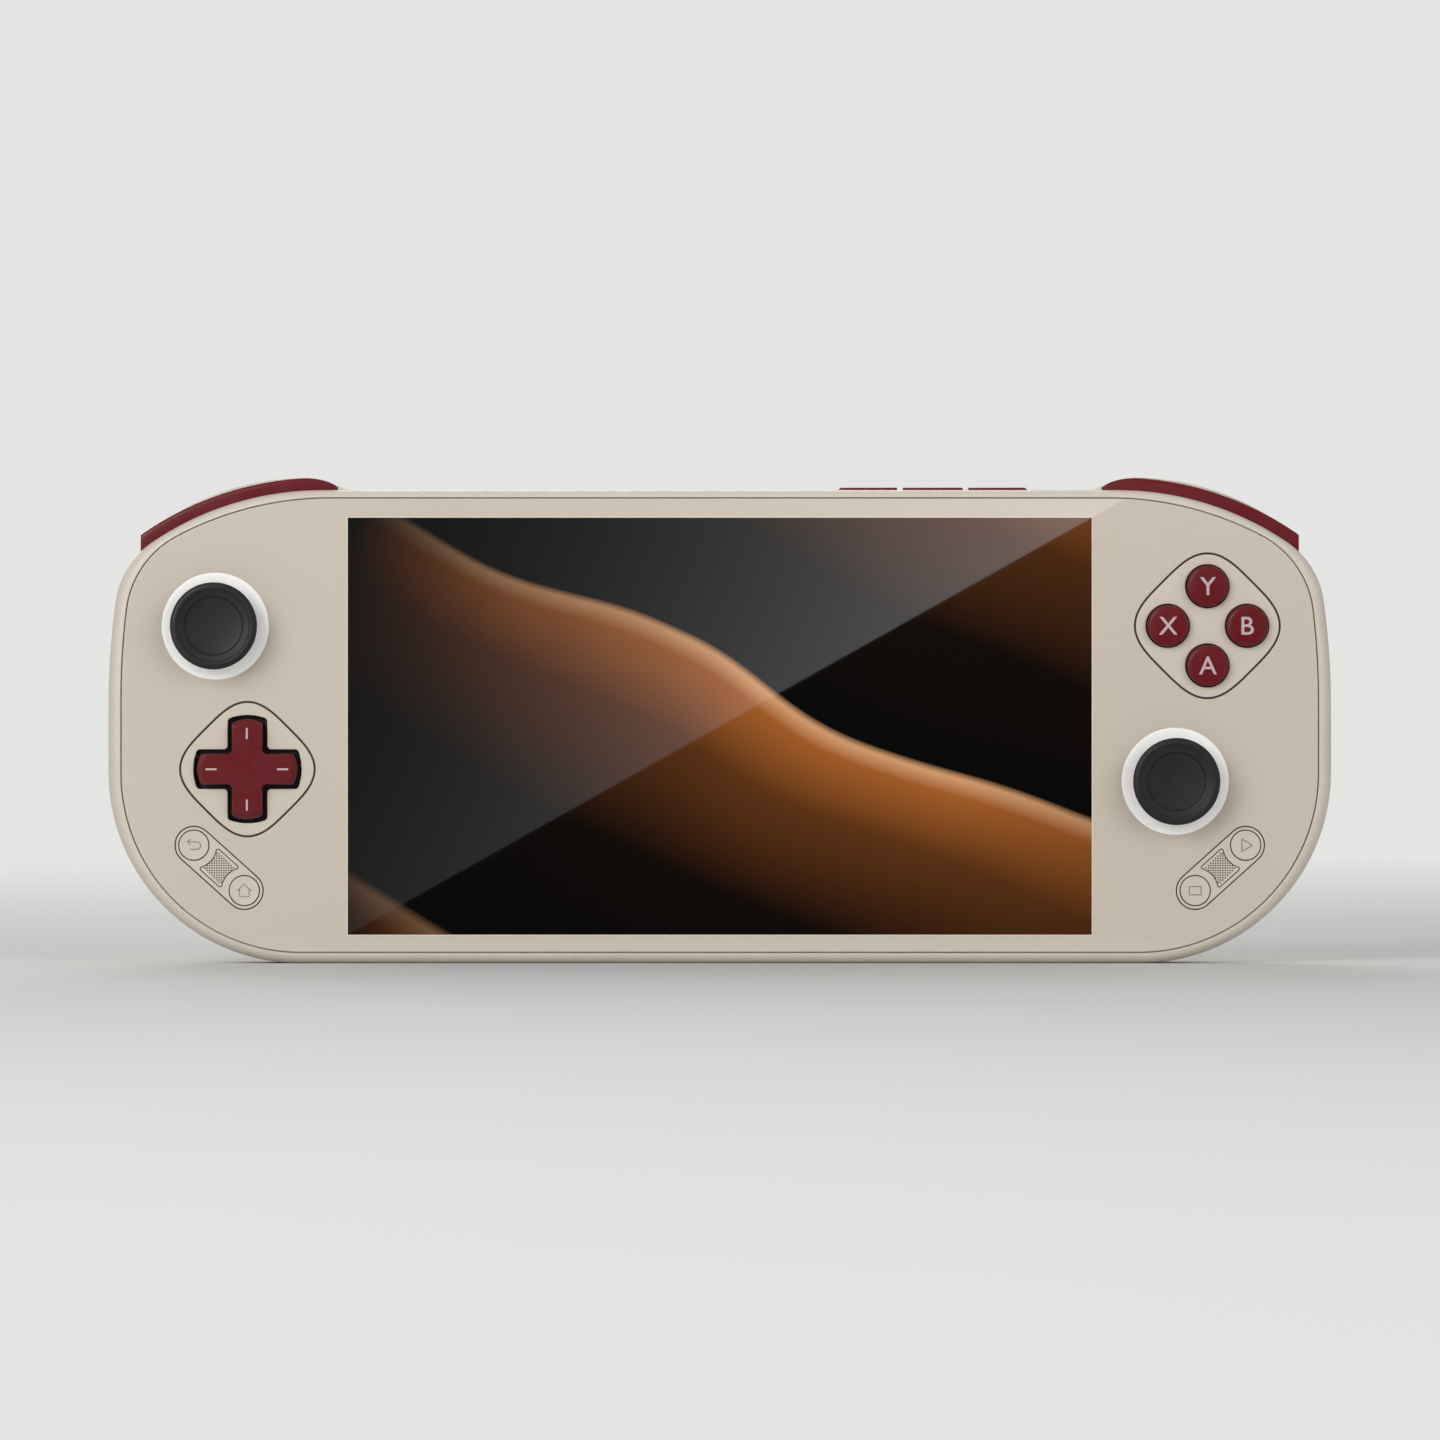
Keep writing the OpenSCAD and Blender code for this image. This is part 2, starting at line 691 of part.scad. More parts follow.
// Circuit boards
module main_board() {
    y1 = body_h - main_drop;
    soc_x = pipe_x - pipe_w / 2;
    color(board_green) union() {
        difference() {
            block(main_x0, main_x1, y1 - main_h, y1, board_under, board_top);
            for (p = main_post_at) post(p, screw_d + 2 * fit_gap, board_under - cut, board_top + cut);
        }
        for (c = chips)
            block(soc_x + c[0], soc_x + c[1], y1 - c[2], y1 - c[3], board_top, board_top + c[4]);
        // upright strip that carries the switches of the top keys
        block(
            key_start - key_margin, key_start + key_run + key_margin, y1 - 0.6, y1 + 0.2,
            board_under - 1.6, board_top + 2.6
        );
        for (k = [0 : key_count - 1])
            key_place(k) block(
                key_l / 2 - 1.8, key_l / 2 + 1.8, y1 - body_h, key_foot - key_travel - rest_gap, -0.8, 0.8
            );
    }
}

module side_board(stick_at) {
    color(board_green) union() {
        plate(board_under, board_top) difference() {
            intersection() {
                polygon(outline(body_shape, side_board_gap));
                translate([-body_w / 2, 0]) square([side_board_in, body_h]);
            }
            at(stick_at) square(base_w + 2 * fit_gap, center = true);
            for (p = concat(side_posts, board_posts)) at(p) circle(d = screw_d + 2 * fit_gap);
            at_pill(0) square(chimney_w + 2 * fit_gap, center = true);
        }
        at_pill(0) pill_pair()
            plate(board_top, pill_foot - key_travel - rest_gap) square(3, center = true);
    }
}
module left_board() { side_board(left_stick_at); }
module right_board() { mirror([1, 0, 0]) side_board([-right_stick_at[0], right_stick_at[1]]); }

module port_board() {
    color(board_green) union() {
        difference() {
            block(
                port_x - port_w / 2, port_x + port_w / 2, port_y0, port_y0 + port_h,
                board_under, board_top
            );
            for (p = port_posts) post(p, screw_d + 2 * fit_gap, board_under - cut, board_top + cut);
        }
        // memory card reader, open towards the bottom edge
        difference() {
            block(
                card_x - card_w / 2 - card_rim, card_x + card_w / 2 + card_rim,
                port_y0, port_y0 + port_h, board_top, board_top + card_t + 0.5
            );
            block(
                card_x - card_w / 2, card_x + card_w / 2, port_y0 - cut, port_y0 + port_h - 1,
                board_top + fit_gap, board_top + fit_gap + card_t
            );
        }
    }
}

// Receptacle with its tongue, mouth on the bottom edge
module usb_port() {
    wall = 0.3;
    color(steel) translate([0, 0, board_top + usb_t / 2]) rotate([90, 0, 0]) union() {
        difference() {
            plate(-usb_l - 0.2, -0.2) polygon(rounded_box(usb_w, usb_t, usb_t / 2 - 0.01));
            plate(-usb_l + 0.8, cut)
                polygon(rounded_box(usb_w - 2 * wall, usb_t - 2 * wall, usb_t / 2 - wall - 0.01));
        }
        plate(-usb_l + 0.4, -1) square([6.6, 0.7], center = true);
    }
}

module battery() {
    color(black) plate(battery_z, battery_z + battery_t)
        at([0, battery_y0 + battery_h / 2]) polygon(rounded_box(battery_w, battery_h, 1.5));
}

// Blower housing, open to the fins above it and to the intake behind it
module fan_housing() {
    inner_top = fan_top - fan_wall;
    inner_low = fan_top - fan_h + fan_wall;
    color(black) at(fan_at) union() {
        difference() {
            plate(fan_top - fan_h, fan_top) polygon(rounded_box(fan_w, fan_w, 2));
            plate(inner_low, inner_top) circle(d = fan_w - 2 * fan_wall - 1.4);
            block(-outlet_w / 2, outlet_w / 2, 0, fan_w, inner_low, inner_top);
            plate(fan_top - fan_h - cut, inner_low + cut) circle(d = fan_port_d);
        }
        post([0, 0], fan_shaft_d, inner_low + fan_wall, fan_top - fan_wall / 2);
    }
}

// Rotor with swept blades, turning on the housing's shaft
module fan_rotor() {
    low = fan_top - fan_h + fan_wall + move_gap;
    high = fan_top - fan_wall - move_gap;
    blade_t = 0.7;
    sweep = -40;
    color(rubber) at(fan_at) difference() {
        union() {
            plate(low, high) circle(d = fan_hub_d);
            for (k = [0 : fan_blades - 1])
                rotate(360 * k / fan_blades) plate(low + 0.4, high - 0.4) polygon(concat(
                    [for (t = [0 : 0.25 : 1]) blade_point(t, sweep, 0)],
                    [for (t = [1 : -0.25 : 0]) blade_point(t, sweep, blade_t)]
                ));
        }
        post([0, 0], fan_shaft_d + 2 * run_gap, low - cut, high + cut);
    }
}
function blade_point(t, sweep, thick) = let (
        r = fan_hub_d / 2 - 0.5 + t * (fan_d - fan_hub_d + 1) / 2,
        a = sweep * t + thick / r * 57.3
    ) [r * cos(a), r * sin(a)];

// Fin stack at the fan's outlet and the flat pipe that leads to it
module heat_sink() {
    x0 = fan_at[0] - outlet_w / 2 - fin_over;
    x1 = fan_at[0] + outlet_w / 2 + fin_over;
    y0 = fan_at[1] + fan_w / 2 + fan_gap;
    y1 = y0 + fin_deep;
    color(copper) union() {
        for (x = [x0 : fin_pitch : x1 - fin_t])
            block(x, x + fin_t, y0, y1, fan_top - fan_h, fan_top - fin_t / 2);
        block(x0, x1, y0, y1, fan_top - fin_t, fan_top);
        plate(fan_top, fan_top + pipe_t) difference() {
            translate([x0, y1 - pipe_foot]) square([pipe_x - x0, pipe_foot]);
            translate([x0 - cut, y1 - pipe_foot - cut])
                square([pipe_x - pipe_w - x0 + cut, pipe_foot - pipe_w + cut]);
            translate([pipe_x, y1]) rotate(45) square(pipe_w, center = true);
        }
    }
}

// Flat cables between the boards, each bent over what it passes
function strip(path) = concat(path, reversed([for (p = path) [p[0], p[1] + strip_t]]));
module ribbon_cables() {
    x_in = -body_w / 2 + side_board_in;
    y_low = body_h - main_drop - main_h;
    over = battery_z + battery_t;
    color(copper) {
        translate([0, fan_at[1] + strip_up, 0]) rotate([90, 0, 0]) linear_extrude(strip_w) polygon(strip([
            [x_in - strip_lap, board_top], [x_in, board_top], [fan_at[0] - fan_w / 2, fan_top],
            [fan_at[0] + fan_w / 2, fan_top], [main_x0, board_top], [main_x0 + strip_lap, board_top]
        ]));
        translate([0, fan_at[1] + strip_up, 0]) rotate([90, 0, 0]) linear_extrude(strip_w) polygon(strip([
            [main_x1 - strip_lap, board_top], [-x_in + strip_lap, board_top]
        ]));
        rotate([90, 0, 90]) linear_extrude(strip_w, center = true) polygon(strip([
            [port_y0 + port_h - 2, board_top], [port_y0 + port_h, board_top],
            [battery_y0, over], [battery_y0 + battery_h, over],
            [y_low, board_top], [y_low + strip_lap, board_top]
        ]));
    }
}

module case_screws() {
    color(steel) for (p = concat(side_posts, high_posts)) {
        post(p, head_d, z_back + fit_gap / 2, z_back + head_h + fit_gap / 2);
        post(p, screw_d, z_back + head_h / 2, z_plate - 0.8);
    }
}

// Loudspeaker with a duct up to the grille
module speaker() {
    bore = chimney_w - 2 * chimney_wall;
    color(black) at_pill(0) difference() {
        union() {
            plate(board_under - speaker_h, board_under)
                translate([0, speaker_shift]) polygon(rounded_box(speaker_l, speaker_w, 1));
            plate(board_under - speaker_h / 2, z_panel) square(chimney_w, center = true);
        }
        plate(board_under - 1, z_panel + cut) square(bore, center = true);
    }
}
module left_speaker() { speaker(); }
module right_speaker() { mirror([1, 0, 0]) speaker(); }

// Ring round a stick, lit from below
module light_ring(place) {
    color(pearl) at(place) rotate_extrude() polygon([
        [ring_bore / 2, z_panel], [ring_d / 2, z_panel], [ring_d / 2, z_front - 0.1],
        [ring_d / 2 - 0.1, z_front], [ring_bore / 2 + 0.6, z_front - 0.35], [ring_bore / 2, z_front - 0.7]
    ]);
}
module left_light_ring() { light_ring(left_stick_at); }
module right_light_ring() { light_ring(right_stick_at); }

// Gimbal housing: four walls with a bore each, a floor and two ears on the board
module stick_base(place) {
    inner = base_w - 2 * base_wall;
    color(black) translate([place[0], place[1], z_pivot]) difference() {
        union() {
            plate(base_floor, base_top) square(base_w, center = true);
            plate(board_top - z_pivot, board_top - z_pivot + ear_t)
                square([base_w + 2 * ear_l, ear_w], center = true);
        }
        plate(base_floor + base_floor_t, base_top + cut) square(inner, center = true);
        for (a = [0, 90]) rotate(a) rotate([0, 90, 0])
            cylinder(d = gimbal_pin_d + 2 * run_gap, h = base_w + 2 * ear_l + cut, center = true);
    }
}

// Lower bail, pinned to the housing along x, with a window for the hub
module stick_rocker(place) {
    color(steel) translate([place[0], place[1], z_pivot]) difference() {
        union() {
            cube([rocker_l, rocker_w, rocker_h], center = true);
            rotate([0, 90, 0]) cylinder(d = gimbal_pin_d, h = 2 * pin_reach, center = true);
        }
        cube([rocker_l - 2.8, hub_l + 0.2, rocker_h + cut], center = true);
        rotate([90, 0, 0])
            cylinder(d = hub_pin_d + 2 * run_gap, h = rocker_w + cut, center = true);
    }
}

// Upper bail, pinned to the housing along y, slotted for the lever
module stick_arch(place) {
    foot = -gimbal_pin_d / 2;
    color(steel) translate([place[0], place[1], z_pivot]) difference() {
        union() {
            difference() {
                rotate([0, 90, 0]) cylinder(r = arch_r, h = arch_w, center = true);
                translate([0, 0, foot - arch_r]) cube([2 * arch_r, 3 * arch_r, 2 * arch_r], center = true);
            }
            rotate([90, 0, 0]) cylinder(d = gimbal_pin_d, h = 2 * pin_reach, center = true);
        }
        rotate([0, 90, 0]) cylinder(r = arch_r - arch_t, h = arch_w + cut, center = true);
        translate([0, 0, arch_r]) cube([arch_slot, 1.2 * arch_r, 2 * arch_t + cut], center = true);
    }
}

// Hub that turns in the rocker and guides the lever
module stick_hub(place) {
    color(black) translate([place[0], place[1], z_pivot]) difference() {
        union() {
            cube([hub_w, hub_l, hub_h], center = true);
            rotate([90, 0, 0]) cylinder(d = hub_pin_d, h = rocker_w, center = true);
        }
        cylinder(d = lever_d + 2 * run_gap, h = 2 * hub_h, center = true);
    }
}

module stick_lever(place) {
    color(steel) translate([place[0], place[1], z_pivot + lever_foot])
        cylinder(d = lever_d, h = socket_top - lever_foot - run_gap);
}

// Concave cap with a grooved rim, a neck and a dome that hides the gimbal
module stick_cap(place) {
    socket_r = lever_d / 2 + run_gap;
    inner_r = dome_r - dome_wall;
    neck_r = neck_d / 2;
    neck_a = asin(neck_r / dome_r);
    inner_a = asin(socket_r / inner_r);
    dish_r = dish_d / 2;
    color(black) translate([place[0], place[1], z_pivot]) rotate_extrude() polygon(concat(
        [[0, socket_top], [socket_r, socket_top]],
        [for (k = [0 : arc_steps])
            let (a = inner_a + (dome_edge - inner_a) * k / arc_steps)
            inner_r * [sin(a), cos(a)]],
        [for (k = [arc_steps : -1 : 0])
            let (a = neck_a + (dome_edge - neck_a) * k / arc_steps)
            dome_r * [sin(a), cos(a)]],
        [
            [neck_r, cap_under - 2], [cap_r, cap_under], [cap_r, cap_top - 0.7],
            [cap_r - 0.25, cap_top - 0.25], [cap_r - 0.8, cap_top], [cap_r - 1.3, cap_top],
            [dish_r + 0.3, cap_top - 0.5], [dish_r, cap_top - 0.8],
            [dish_r * 0.6, cap_top - dish_drop + 0.15], [0, cap_top - dish_drop]
        ]
    ));
}

module left_stick_base() { stick_base(left_stick_at); }
module left_stick_rocker() { stick_rocker(left_stick_at); }
module left_stick_arch() { stick_arch(left_stick_at); }
module left_stick_hub() { stick_hub(left_stick_at); }
module left_stick_lever() { stick_lever(left_stick_at); }
module left_stick_cap() { stick_cap(left_stick_at); }
module right_stick_base() { stick_base(right_stick_at); }
module right_stick_rocker() { stick_rocker(right_stick_at); }
module right_stick_arch() { stick_arch(right_stick_at); }
module right_stick_hub() { stick_hub(right_stick_at); }
module right_stick_lever() { stick_lever(right_stick_at); }
module right_stick_cap() { stick_cap(right_stick_at); }

// Inset plate with a cross shaped well
module dpad_plate() {
    color(sand) at(dpad_at) plate(z_panel, z_front) difference() {
        polygon(diamond(dpad_plate_d - 2 * glass_gap, plate_corner_r));
        polygon(cross(dpad_span / 2 + dpad_gap, dpad_arm / 2 + dpad_gap, tip_r, tip_bow));
    }
}

// Cross with a bevel round its top
module dpad_cross() {
    steps = [[0, dpad_disc_z + dpad_disc_t], [0, dpad_top - 0.9], [0.2, dpad_top - 0.3], [0.6, dpad_top]];
    color(burgundy) at(dpad_at) loft([
        for (s = steps)
            raised(cross(dpad_span / 2 - s[0], dpad_arm / 2 - s[0], tip_r, tip_bow), s[1])
    ]);
}

// Black disc under the cross, seated on the ball
module dpad_disc() {
    color(black) at(dpad_at) difference() {
        plate(dpad_disc_z, dpad_disc_z + dpad_disc_t) circle(r = dpad_disc_r);
        translate([0, 0, ball_z]) sphere(r = ball_r + run_gap);
    }
}

module dpad_ball() { color(steel) at(dpad_at) translate([0, 0, ball_z]) sphere(r = ball_r); }

module dpad_post() {
    color(black) at(dpad_at) difference() {
        plate(board_top, ball_z - 0.3) circle(r = ball_r + 0.8);
        translate([0, 0, ball_z]) sphere(r = ball_r + run_gap);
    }
}

// Rubber mat with a contact pad under each arm
module dpad_mat() {
    color(rubber) at(dpad_at) union() {
        plate(board_top, board_top + mat_t) difference() {
            circle(d = dpad_span);
            circle(r = ball_r + 0.8 + fit_gap);
        }
        for (a = [0 : 90 : 270]) rotate(a) translate([dpad_pad_out, 0, board_top])
            cylinder(r = dpad_pad_r, h = dpad_pad_h);
    }
}

module face_plate() {
    color(sand) at(face_at) plate(z_panel, z_front) difference() {
        polygon(diamond(face_plate_d - 2 * glass_gap, plate_corner_r));
        for (a = face_turns) rotate(a) translate([face_pitch, 0]) circle(r = face_hole_r);
    }
}

// Round button with a crowned top, held by a flange under the plate
module face_button(k) {
    r = face_d / 2;
    top = z_front + face_proud;
    color(burgundy) at(face_at) rotate(face_turns[k]) translate([face_pitch, 0]) rotate_extrude() polygon([
        [0, face_foot], [face_flange_r, face_foot], [face_flange_r, face_foot + flange_t],
        [r, face_foot + flange_t], [r, top - 0.6], [r - 0.12, top - 0.3], [r - 0.4, top - 0.1],
        [r - 0.8, top], [0, top + 0.05]
    ]);
}
module a_button() { face_button(0); }
module b_button() { face_button(1); }
module x_button() { face_button(2); }
module y_button() { face_button(3); }

module face_mat() {
    dome_top = face_foot - face_travel - rest_gap;
    color(rubber) union() {
        at(face_at) plate(board_top, board_top + mat_t) polygon(diamond(face_plate_d - 1, plate_corner_r));
        face_group() translate([0, 0, board_top])
            cylinder(r1 = face_d / 2, r2 = face_d / 2 - 1, h = dome_top - board_top);
    }
}

// Grille holes lie on a square grid, clear of the round ends that the buttons take
module pill_plate() {
    clear_r = pill_pitch / 2 - 2;
    n = ceil(pill_pitch / grille_pitch / 2);
    color(sand) at_pill(0) union() {
        plate(z_panel, z_front - grille_t) difference() {
            polygon(rounded_box(pill_pitch + pill_w - 2 * glass_gap, pill_w - 2 * glass_gap,
                pill_plate_r - glass_gap));
            pill_pair() circle(r = pill_hole_r);
            square([chimney_w - 2 * chimney_wall, chimney_w - 2 * chimney_wall], center = true);
        }
        plate(z_front - grille_t, z_front) difference() {
            polygon(rounded_box(pill_pitch + pill_w - 2 * glass_gap, pill_w - 2 * glass_gap,
                pill_plate_r - glass_gap));
            pill_pair() circle(r = pill_hole_r);
            for (i = [-n : n], j = [-n : n])
                let (
                    u = grille_pitch * (i * cos(pill_turn) - j * sin(pill_turn)),
                    v = grille_pitch * (i * sin(pill_turn) + j * cos(pill_turn))
                )
                if (abs(v) < grille_w / 2 - grille_hole && abs(u) < grille_w / 2
                    && norm([pill_pitch / 2 - abs(u), v]) > clear_r)
                    translate([u, v]) rotate(pill_turn) square(grille_hole, center = true);
        }
    }
}
module left_pill_plate() { pill_plate(); }
module right_pill_plate() { mirror([1, 0, 0]) pill_plate(); }

module pill_button(side, end) {
    r = pill_d / 2;
    top = z_front + pill_proud;
    color(sand) at_pill(side) translate([end * pill_pitch / 2, 0]) rotate_extrude() polygon([
        [0, pill_foot], [1.2, pill_foot], [1.2, z_panel - rest_gap - 0.5],
        [pill_flange_r, z_panel - rest_gap - 0.5], [pill_flange_r, z_panel - rest_gap],
        [r, z_panel - rest_gap], [r, top - 0.15], [r - 0.15, top], [0, top]
    ]);
}
module back_button() { pill_button(0, -1); }
module home_button() { pill_button(0, 1); }
module play_button() { pill_button(1, -1); }
module screen_button() { pill_button(1, 1); }

// Moulded insert that lines the shoulder bay and carries the bumper and trigger pins
module shoulder_insert() {
    inner = floor_d + floor_t;
    behind = frame_wall + fit_gap;
    ends = [[bay_start - 8, bay_start + 0.2], [bay_end + fit_gap, bay_end + 3]];
    rib_run = stations(bay_start + 0.5, bay_end - fit_gap);
    color(sand) union() {
        plate(z_floor + fit_gap, z_plate) polygon(band(floor_d, inner, bay_start - 8, bay_end + 3));
        plate(z_back + fit_gap, z_floor + cut)
            polygon(band(floor_d + 0.1, inner - 0.1, bay_start, bay_end));
        // flanges that sit behind the wall at both ends of the bay
        for (s = ends) {
            plate(z_floor + 2 * fit_gap, z_plate - 0.1)
                polygon(band(cover_inset + fit_gap, floor_d + floor_t / 2, s[0] + 0.3, s[1]));
            plate(z_part + fit_gap, z_plate - 0.2)
                polygon(band(behind, floor_d + floor_t / 3, s[0] + 0.6, s[1] - 0.1));
        }
        // rib between bumper and trigger, highest over the middle of the bumper
        plate(rib_top - rib_t, rib_top) polygon(concat(
            [for (s = rib_run) shoulder(s, -rib_height(s))],
            reversed([for (s = rib_run) shoulder(s, floor_d + floor_t / 2)])
        ));
        post(bumper_pin_at, shoulder_pin_d, rib_top - rib_t / 2, bumper_top - 1.2);
        for (end = [0, 1]) on_trigger_axis()
            translate([end * trigger_l, 0, 0]) {
                translate([-lug_t / 2, trigger_pin_d - floor_d - floor_t / 2, -shoulder_pin_d / 2 - 0.4])
                    cube([
                        lug_t, floor_d + floor_t / 2 - trigger_pin_d + shoulder_pin_d / 2 + 0.4,
                        rib_top - rib_t / 2 - trigger_pin_z + shoulder_pin_d / 2 + 0.4
                    ]);
                mirror([end, 0, 0]) rotate([0, 90, 0])
                    cylinder(d = shoulder_pin_d, h = lug_t / 2 + move_gap + trigger_reach);
            }
    }
}
function rib_height(s) =
    (bumper_proud + 0.3) * pow(sin(180 * (s - bay_start) / (bay_end - bay_start)), 0.4);
module on_trigger_axis() {
    translate([lug_out_at[0], lug_out_at[1], trigger_pin_z]) rotate(trigger_slope) children();
}

// Bumper swept along the shoulder, on a pin at its inner end
bumper_profile = [
    [-bumper_depth, bumper_low], [0.75 * bumper_proud, bumper_low], [0.95 * bumper_proud, bumper_low + 0.3],
    [bumper_proud, bumper_low + 0.9], [bumper_proud, bumper_top - 0.9],
    [0.95 * bumper_proud, bumper_top - 0.3], [0.75 * bumper_proud, bumper_top], [-bumper_depth, bumper_top]
];
function swept(profile, s, share = 1) = [
    for (p = profile)
        let (q = shoulder(s, p[0] > 0 ? -p[0] * share : -p[0]))
        [q[0], q[1], p[1]]
];
module bumper() {
    round_at = bumper_in - bumper_round;
    color(burgundy) difference() {
        union() {
            loft(concat(
                [for (s = stations(bumper_start, station(round_at))) swept(bumper_profile, s)],
                [for (a = [22 : 20 : 82])
                    swept(bumper_profile, station(round_at + bumper_round * sin(a)), cos(a))]
            ));
            post(bumper_pin_at, shoulder_pin_d + 2 * run_gap + 2 * boss_wall, bumper_low, bumper_top);
        }
        block(-body_w, bumper_out - body_w / 2, 0, 2 * body_h, bumper_low - cut, bumper_top + cut);
        post(bumper_pin_at, shoulder_pin_d + 2 * run_gap, bumper_low - cut, bumper_top - 1);
    }
}

// Trigger swept along the shoulder, hinged beside the rib, its tail behind the back
trigger_profile = [
    [-bumper_depth - 0.8, trigger_top - 2.5], [-1, trigger_end + 0.4], [-0.6, trigger_end],
    [0.2, trigger_end + 0.1], [0.6 * trigger_proud, trigger_end + 1],
    [0.94 * trigger_proud, trigger_end + 2.8],
    [trigger_proud, trigger_end + 4.8], [0.94 * trigger_proud, trigger_top - 0.4],
    [0.66 * trigger_proud, trigger_top], [-bumper_depth - 0.2, trigger_top],
    [-bumper_depth - 0.8, trigger_top - 0.6]
];
module trigger() {
    end = lug_t / 2 + move_gap;
    bore_d = shoulder_pin_d + 2 * run_gap;
    color(burgundy) difference() {
        loft([for (s = stations(bay_start + 4, station(lug_end_in + 3))) swept(trigger_profile, s)]);
        on_trigger_axis() {
            for (x = [end - trigger_l, trigger_l - end])
                translate([x, -trigger_l, -trigger_l]) cube(trigger_l * [1, 2, 2]);
            for (x = [end - cut, trigger_l - end - trigger_reach - fit_gap])
                translate([x, 0, 0]) rotate([0, 90, 0])
                    cylinder(d = bore_d, h = trigger_reach + fit_gap + cut);
        }
    }
}
module left_shoulder() { shoulder_insert(); }
module right_shoulder() { mirror([1, 0, 0]) shoulder_insert(); }
module left_bumper() { bumper(); }
module right_bumper() { mirror([1, 0, 0]) bumper(); }
module left_trigger() { trigger(); }
module right_trigger() { mirror([1, 0, 0]) trigger(); }

// Keys in the top edge, the outer ends slanted
module key_place(k) { translate([key_start + k * (key_l + key_space), body_h, key_z]) children(); }
module top_key(k) {
    first = k == 0 ? key_slant : 0;
    last = k == key_count - 1 ? key_slant : 0;
    h = key_w / 2;
    color(burgundy) key_place(k) union() {
        plate(-h, h) polygon([
            [0, key_foot + key_flange_t / 2], [key_l, key_foot + key_flange_t / 2], [key_l, 0],
            [key_l - last / 2, key_proud], [first / 2, key_proud], [0, 0]
        ]);
        block(
            -key_flange / 2, key_l + key_flange / 2, key_foot, key_foot + key_flange_t,
            -h - key_flange, h + key_flange
        );
    }
}
module volume_down_key() { top_key(0); }
module volume_up_key() { top_key(1); }
module power_key() { top_key(2); }

upright() front_glass();
upright() display_panel();
upright() middle_frame();
upright() back_cover();
upright() chassis_plate();
upright() main_board();
upright() left_board();
upright() right_board();
upright() port_board();
upright() usb_port();
upright() battery();
upright() fan_housing();
upright() fan_rotor();
upright() heat_sink();
upright() ribbon_cables();
upright() case_screws();
upright() left_speaker();
upright() right_speaker();
upright() left_light_ring();
upright() right_light_ring();
upright() left_stick_base();
upright() left_stick_rocker();
upright() left_stick_arch();
upright() left_stick_hub();
upright() left_stick_lever();
upright() left_stick_cap();
upright() right_stick_base();
upright() right_stick_rocker();
upright() right_stick_arch();
upright() right_stick_hub();
upright() right_stick_lever();
upright() right_stick_cap();
upright() dpad_plate();
upright() dpad_cross();
upright() dpad_disc();
upright() dpad_ball();
upright() dpad_post();
upright() dpad_mat();
upright() face_plate();
upright() a_button();
upright() b_button();
upright() x_button();
upright() y_button();
upright() face_mat();
upright() left_pill_plate();
upright() right_pill_plate();
upright() back_button();
upright() home_button();
upright() play_button();
upright() screen_button();
upright() left_shoulder();
upright() right_shoulder();
upright() left_bumper();
upright() right_bumper();
upright() left_trigger();
upright() right_trigger();
upright() volume_down_key();
upright() volume_up_key();
upright() power_key();
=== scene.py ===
"""Looks of a handheld game console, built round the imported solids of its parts."""

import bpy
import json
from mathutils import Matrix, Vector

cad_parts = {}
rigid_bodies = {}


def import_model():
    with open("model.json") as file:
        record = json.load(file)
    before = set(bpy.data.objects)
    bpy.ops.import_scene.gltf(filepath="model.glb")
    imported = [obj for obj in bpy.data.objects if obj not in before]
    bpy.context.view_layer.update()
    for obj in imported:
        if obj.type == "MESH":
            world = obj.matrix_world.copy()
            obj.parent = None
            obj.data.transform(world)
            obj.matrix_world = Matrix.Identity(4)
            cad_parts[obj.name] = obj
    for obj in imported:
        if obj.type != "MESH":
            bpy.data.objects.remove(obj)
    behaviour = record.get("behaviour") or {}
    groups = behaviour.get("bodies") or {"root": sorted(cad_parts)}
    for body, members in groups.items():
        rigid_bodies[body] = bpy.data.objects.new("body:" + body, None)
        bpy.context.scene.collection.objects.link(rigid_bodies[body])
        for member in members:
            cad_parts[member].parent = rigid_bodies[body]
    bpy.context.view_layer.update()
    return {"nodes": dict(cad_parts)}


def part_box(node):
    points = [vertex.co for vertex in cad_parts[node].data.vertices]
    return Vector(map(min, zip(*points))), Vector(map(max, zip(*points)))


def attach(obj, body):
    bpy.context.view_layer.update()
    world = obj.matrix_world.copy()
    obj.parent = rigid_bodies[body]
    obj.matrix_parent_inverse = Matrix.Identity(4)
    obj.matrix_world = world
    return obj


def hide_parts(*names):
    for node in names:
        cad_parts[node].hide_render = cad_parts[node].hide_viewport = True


bl_info = {
    "name": "Handheld console looks",
    "version": (1, 0, 0),
    "blender": (4, 5, 0),
    "location": "View3D > Sidebar > Console",
    "description": "Shells, glass, screen and controls of a handheld game console",
    "category": "Object",
}

import functools
import json
import math

import bmesh
import bpy
from bpy.props import FloatProperty, FloatVectorProperty, IntProperty, PointerProperty
from mathutils import Matrix, Vector
from mathutils.geometry import tessellate_polygon

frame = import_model()
MM = 0.001
QUARTER = math.pi / 2
SIDES = (("left", 1), ("right", -1))
SHARP, TURNED = 32, 40  # degrees: edges that turn less are shaded smooth


# Places. Sizes here are millimetres: x across, y up, z towards the user.

def row(x, y, z):
    """A place on the console as a point of the shared frame, in metres."""
    return Vector((x, -z, y)) * MM


def span(node):
    """Lowest and highest corner of a solid, in millimetres."""
    lo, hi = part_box(node)
    return Vector((lo.x, lo.z, -hi.y)) / MM, Vector((hi.x, hi.z, -lo.y)) / MM


def centre(node):
    lo, hi = span(node)
    return (lo + hi) / 2


